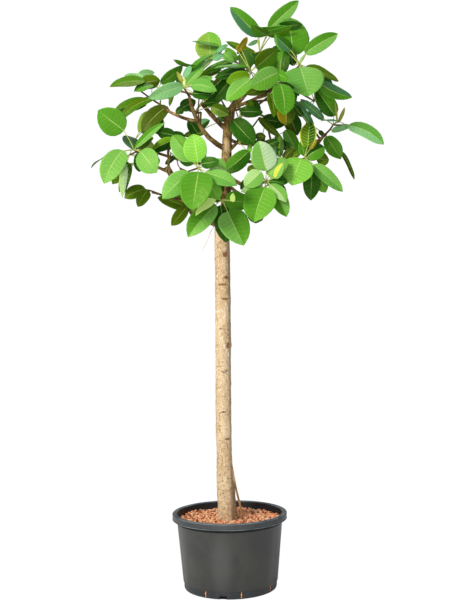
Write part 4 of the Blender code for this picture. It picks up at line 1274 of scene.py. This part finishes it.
class Crown:
    """Everything green, gathered as it grows: blades by mass, and the stalks and twigs of the whole crown."""

    def __init__(self):
        self.random = Random(7)
        self.blades = {}
        self.stalks = Heap()
        self.twigs = Heap()
        self.patches = []

    def leaf(self, mass, blade, turn, tint, root, side_veins=SIDE_VEINS):
        """One leaf on its stalk from root, a point of its shoot."""
        halves, _, edge = tint.partition("|")
        first, _, second = halves.partition("/")
        green = TINT_ORDER.index(second or first), TINT_ORDER.index(first)
        margin = [TINT_ORDER.index(edge)] * 2 if edge else [EDGE_FIRST + index for index in green]
        heap = self.blades.setdefault(mass, Heap())
        heap.add(blade_mesh(blade, green, margin))
        if abs(turn) < STEEP:
            vein_green = [TINT_ORDER.index("lime")] * 2 if edge else green
            heap.add(veins_mesh(blade, vein_green, side_veins))
        self.stalks.add(stalk_mesh(root, blade.place(PETIOLE_END, 0.0, proud=-RIDGE)))

    def remember(self, base, tip, width, turn):
        """Keeps the patch of the view that a leaf covers, so that hidden leaves can stay behind it."""
        first, last = in_view(base), in_view(tip)
        across = max(LEAST_VIEW, abs(math.cos(math.radians(turn)))) * width / CM / 2
        self.patches.append(((first + last) / 2, last - first, across, max(base.y, tip.y)))

    def covered(self, point):
        """Whether a leaf of the table stands in front of a point."""
        spot = in_view(point)
        for centre, along, across, back in self.patches:
            if point.y < back + HIDDEN_BEHIND:
                continue
            length = max(along.length, 0.1)
            offset = spot - centre
            lengthwise = offset.dot(along) / length / (length / 2)
            crosswise = (offset.x * along.y - offset.y * along.x) / length / across
            if lengthwise**2 + crosswise**2 < 1.0:
                return True
        return False

    def hidden_leaf(self, mass, root, direction, away):
        """A seeded leaf near a direction, kept only where a nearer leaf covers it."""
        random = self.random
        for _ in range(HIDDEN_TRIES):
            aside = [random.uniform(-HIDDEN_SPREAD, HIDDEN_SPREAD) for _ in range(3)]
            turned = direction + Vector(aside)
            turned.y += away
            turned.normalize()
            length = random.uniform(*HIDDEN_LENGTHS)
            width = length * random.uniform(*HIDDEN_WIDTHS)
            base = root + turned * random.uniform(*HIDDEN_GAPS)
            tip = base + turned * length - UP * length * random.uniform(*HIDDEN_DROOPS)
            turn = random.choice(HIDDEN_TURNS)
            blade = Blade(base, tip, width, turn, Random(random.random()))
            if all(self.covered(blade.place(*spot)) for spot in HIDDEN_SPOTS):
                tint = random.choice(HIDDEN_TINTS)
                self.leaf(mass, Blade(base, tip, width, turn, random), turn, tint, root, HIDDEN_VEINS)
                return

    def shoot(self, mass, back, path, leaves, start):
        """A twig from its bough's end through its path, with the leaves of the table."""
        points = [seen(x, z, back) for x, z in path]
        self.twig([start] + points, *TWIG_RADII)
        for row in (Leaf(*row) for row in leaves):
            near = row.near * (REACH if row.near > 0 else 1.0)
            base = seen(row.x, row.z, back - BASE_REACH * near)
            tip = seen(row.tip_x, row.tip_z, back - near)
            root = min(points + [start], key=lambda point: (point - base).length)
            random = Random(row.x + 1000 * row.z)
            width, turn = swung(row.width * CM, row.turn, random)
            self.leaf(mass, Blade(base, tip, width, turn, random, row.lean), turn, row.tint, root)
            self.remember(base, tip, width, turn)

    def twig(self, route, radius, end_radius):
        """A twig along a route, its corners rounded."""
        points = [route[0]]
        for before, here, after in zip(route, route[1:], route[2:]):
            points += [here.lerp(before, 0.3), here, here.lerp(after, 0.3)]
        points.append(route[-1])
        bm = bmesh.new()
        tube(bm, points, even_steps(radius, end_radius, len(points) - 1), 7)
        self.twigs.add(bm)


def limb_end(node, near):
    """Middle of a limb's end, the part of it nearest to a point."""
    places = [vertex.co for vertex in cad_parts[node].data.vertices]
    closest = min(places, key=lambda place: (place - near).length)
    ring = [place for place in places if (place - closest).length < LIMB_END]
    return sum(ring, Vector()) / len(ring)


def keep_used_finishes(piece):
    """Drops the finishes that no face of a piece has."""
    mesh = piece.data
    used = sorted({face.material_index for face in mesh.polygons})
    kept = [mesh.materials[index] for index in used]
    renumbered = [used.index(face.material_index) for face in mesh.polygons]
    mesh.materials.clear()
    for finish in kept:
        mesh.materials.append(finish)
    mesh.polygons.foreach_set("material_index", renumbered)


def make_crown():
    crown = Crown()
    ends = {}
    for mass, back, path, leaves in SHOOTS:
        limb = mass + "_bough" if mass != "low_left" else "low_left_twig"
        ends[mass] = seen(*path[-1], back)
        crown.shoot(mass, back, path, leaves, limb_end(limb, seen(*path[0], back)))
    for back, path, radius in INNER_TWIGS:
        crown.twig([seen(x, z, back) for x, z in path], radius, radius * INNER_TAPER)
    for mass, root in ends.items():
        for index in range(HIDDEN_PER_SHOOT):
            bearing = index * LEAF_SPIRAL
            direction = Vector((math.cos(bearing), 0.5, math.sin(bearing)))
            crown.hidden_leaf(mass, root, direction, HIDDEN_AWAY)
    for mass, places in REAR_SHOOTS.items():
        for place in places:
            root = Vector(place)
            crown.twig([limb_end(mass + "_bough", root), root], *TWIG_RADII)
            for index in range(REAR_PER_SHOOT):
                bearing = index * LEAF_SPIRAL
                direction = Vector((math.cos(bearing), math.sin(index * 1.3), math.sin(bearing)))
                crown.hidden_leaf(mass, root, direction, 0.0)
    finishes = leaf_finishes()
    for mass, heap in crown.blades.items():
        piece = heap.piece("leaves_" + mass, finishes)
        keep_used_finishes(piece)
        settle(piece, "leaf", "foliage_" + mass)
    settle(crown.stalks.piece("leaf_stalks", [blade_finish("stalk_green", STALK_GREEN)]), "leaf")
    settle(crown.twigs.piece("twigs", [twig_bark()]), "crown_bark")


make_camera()
make_studio()
make_pot()
make_pebbles()
make_wood()
make_crown()
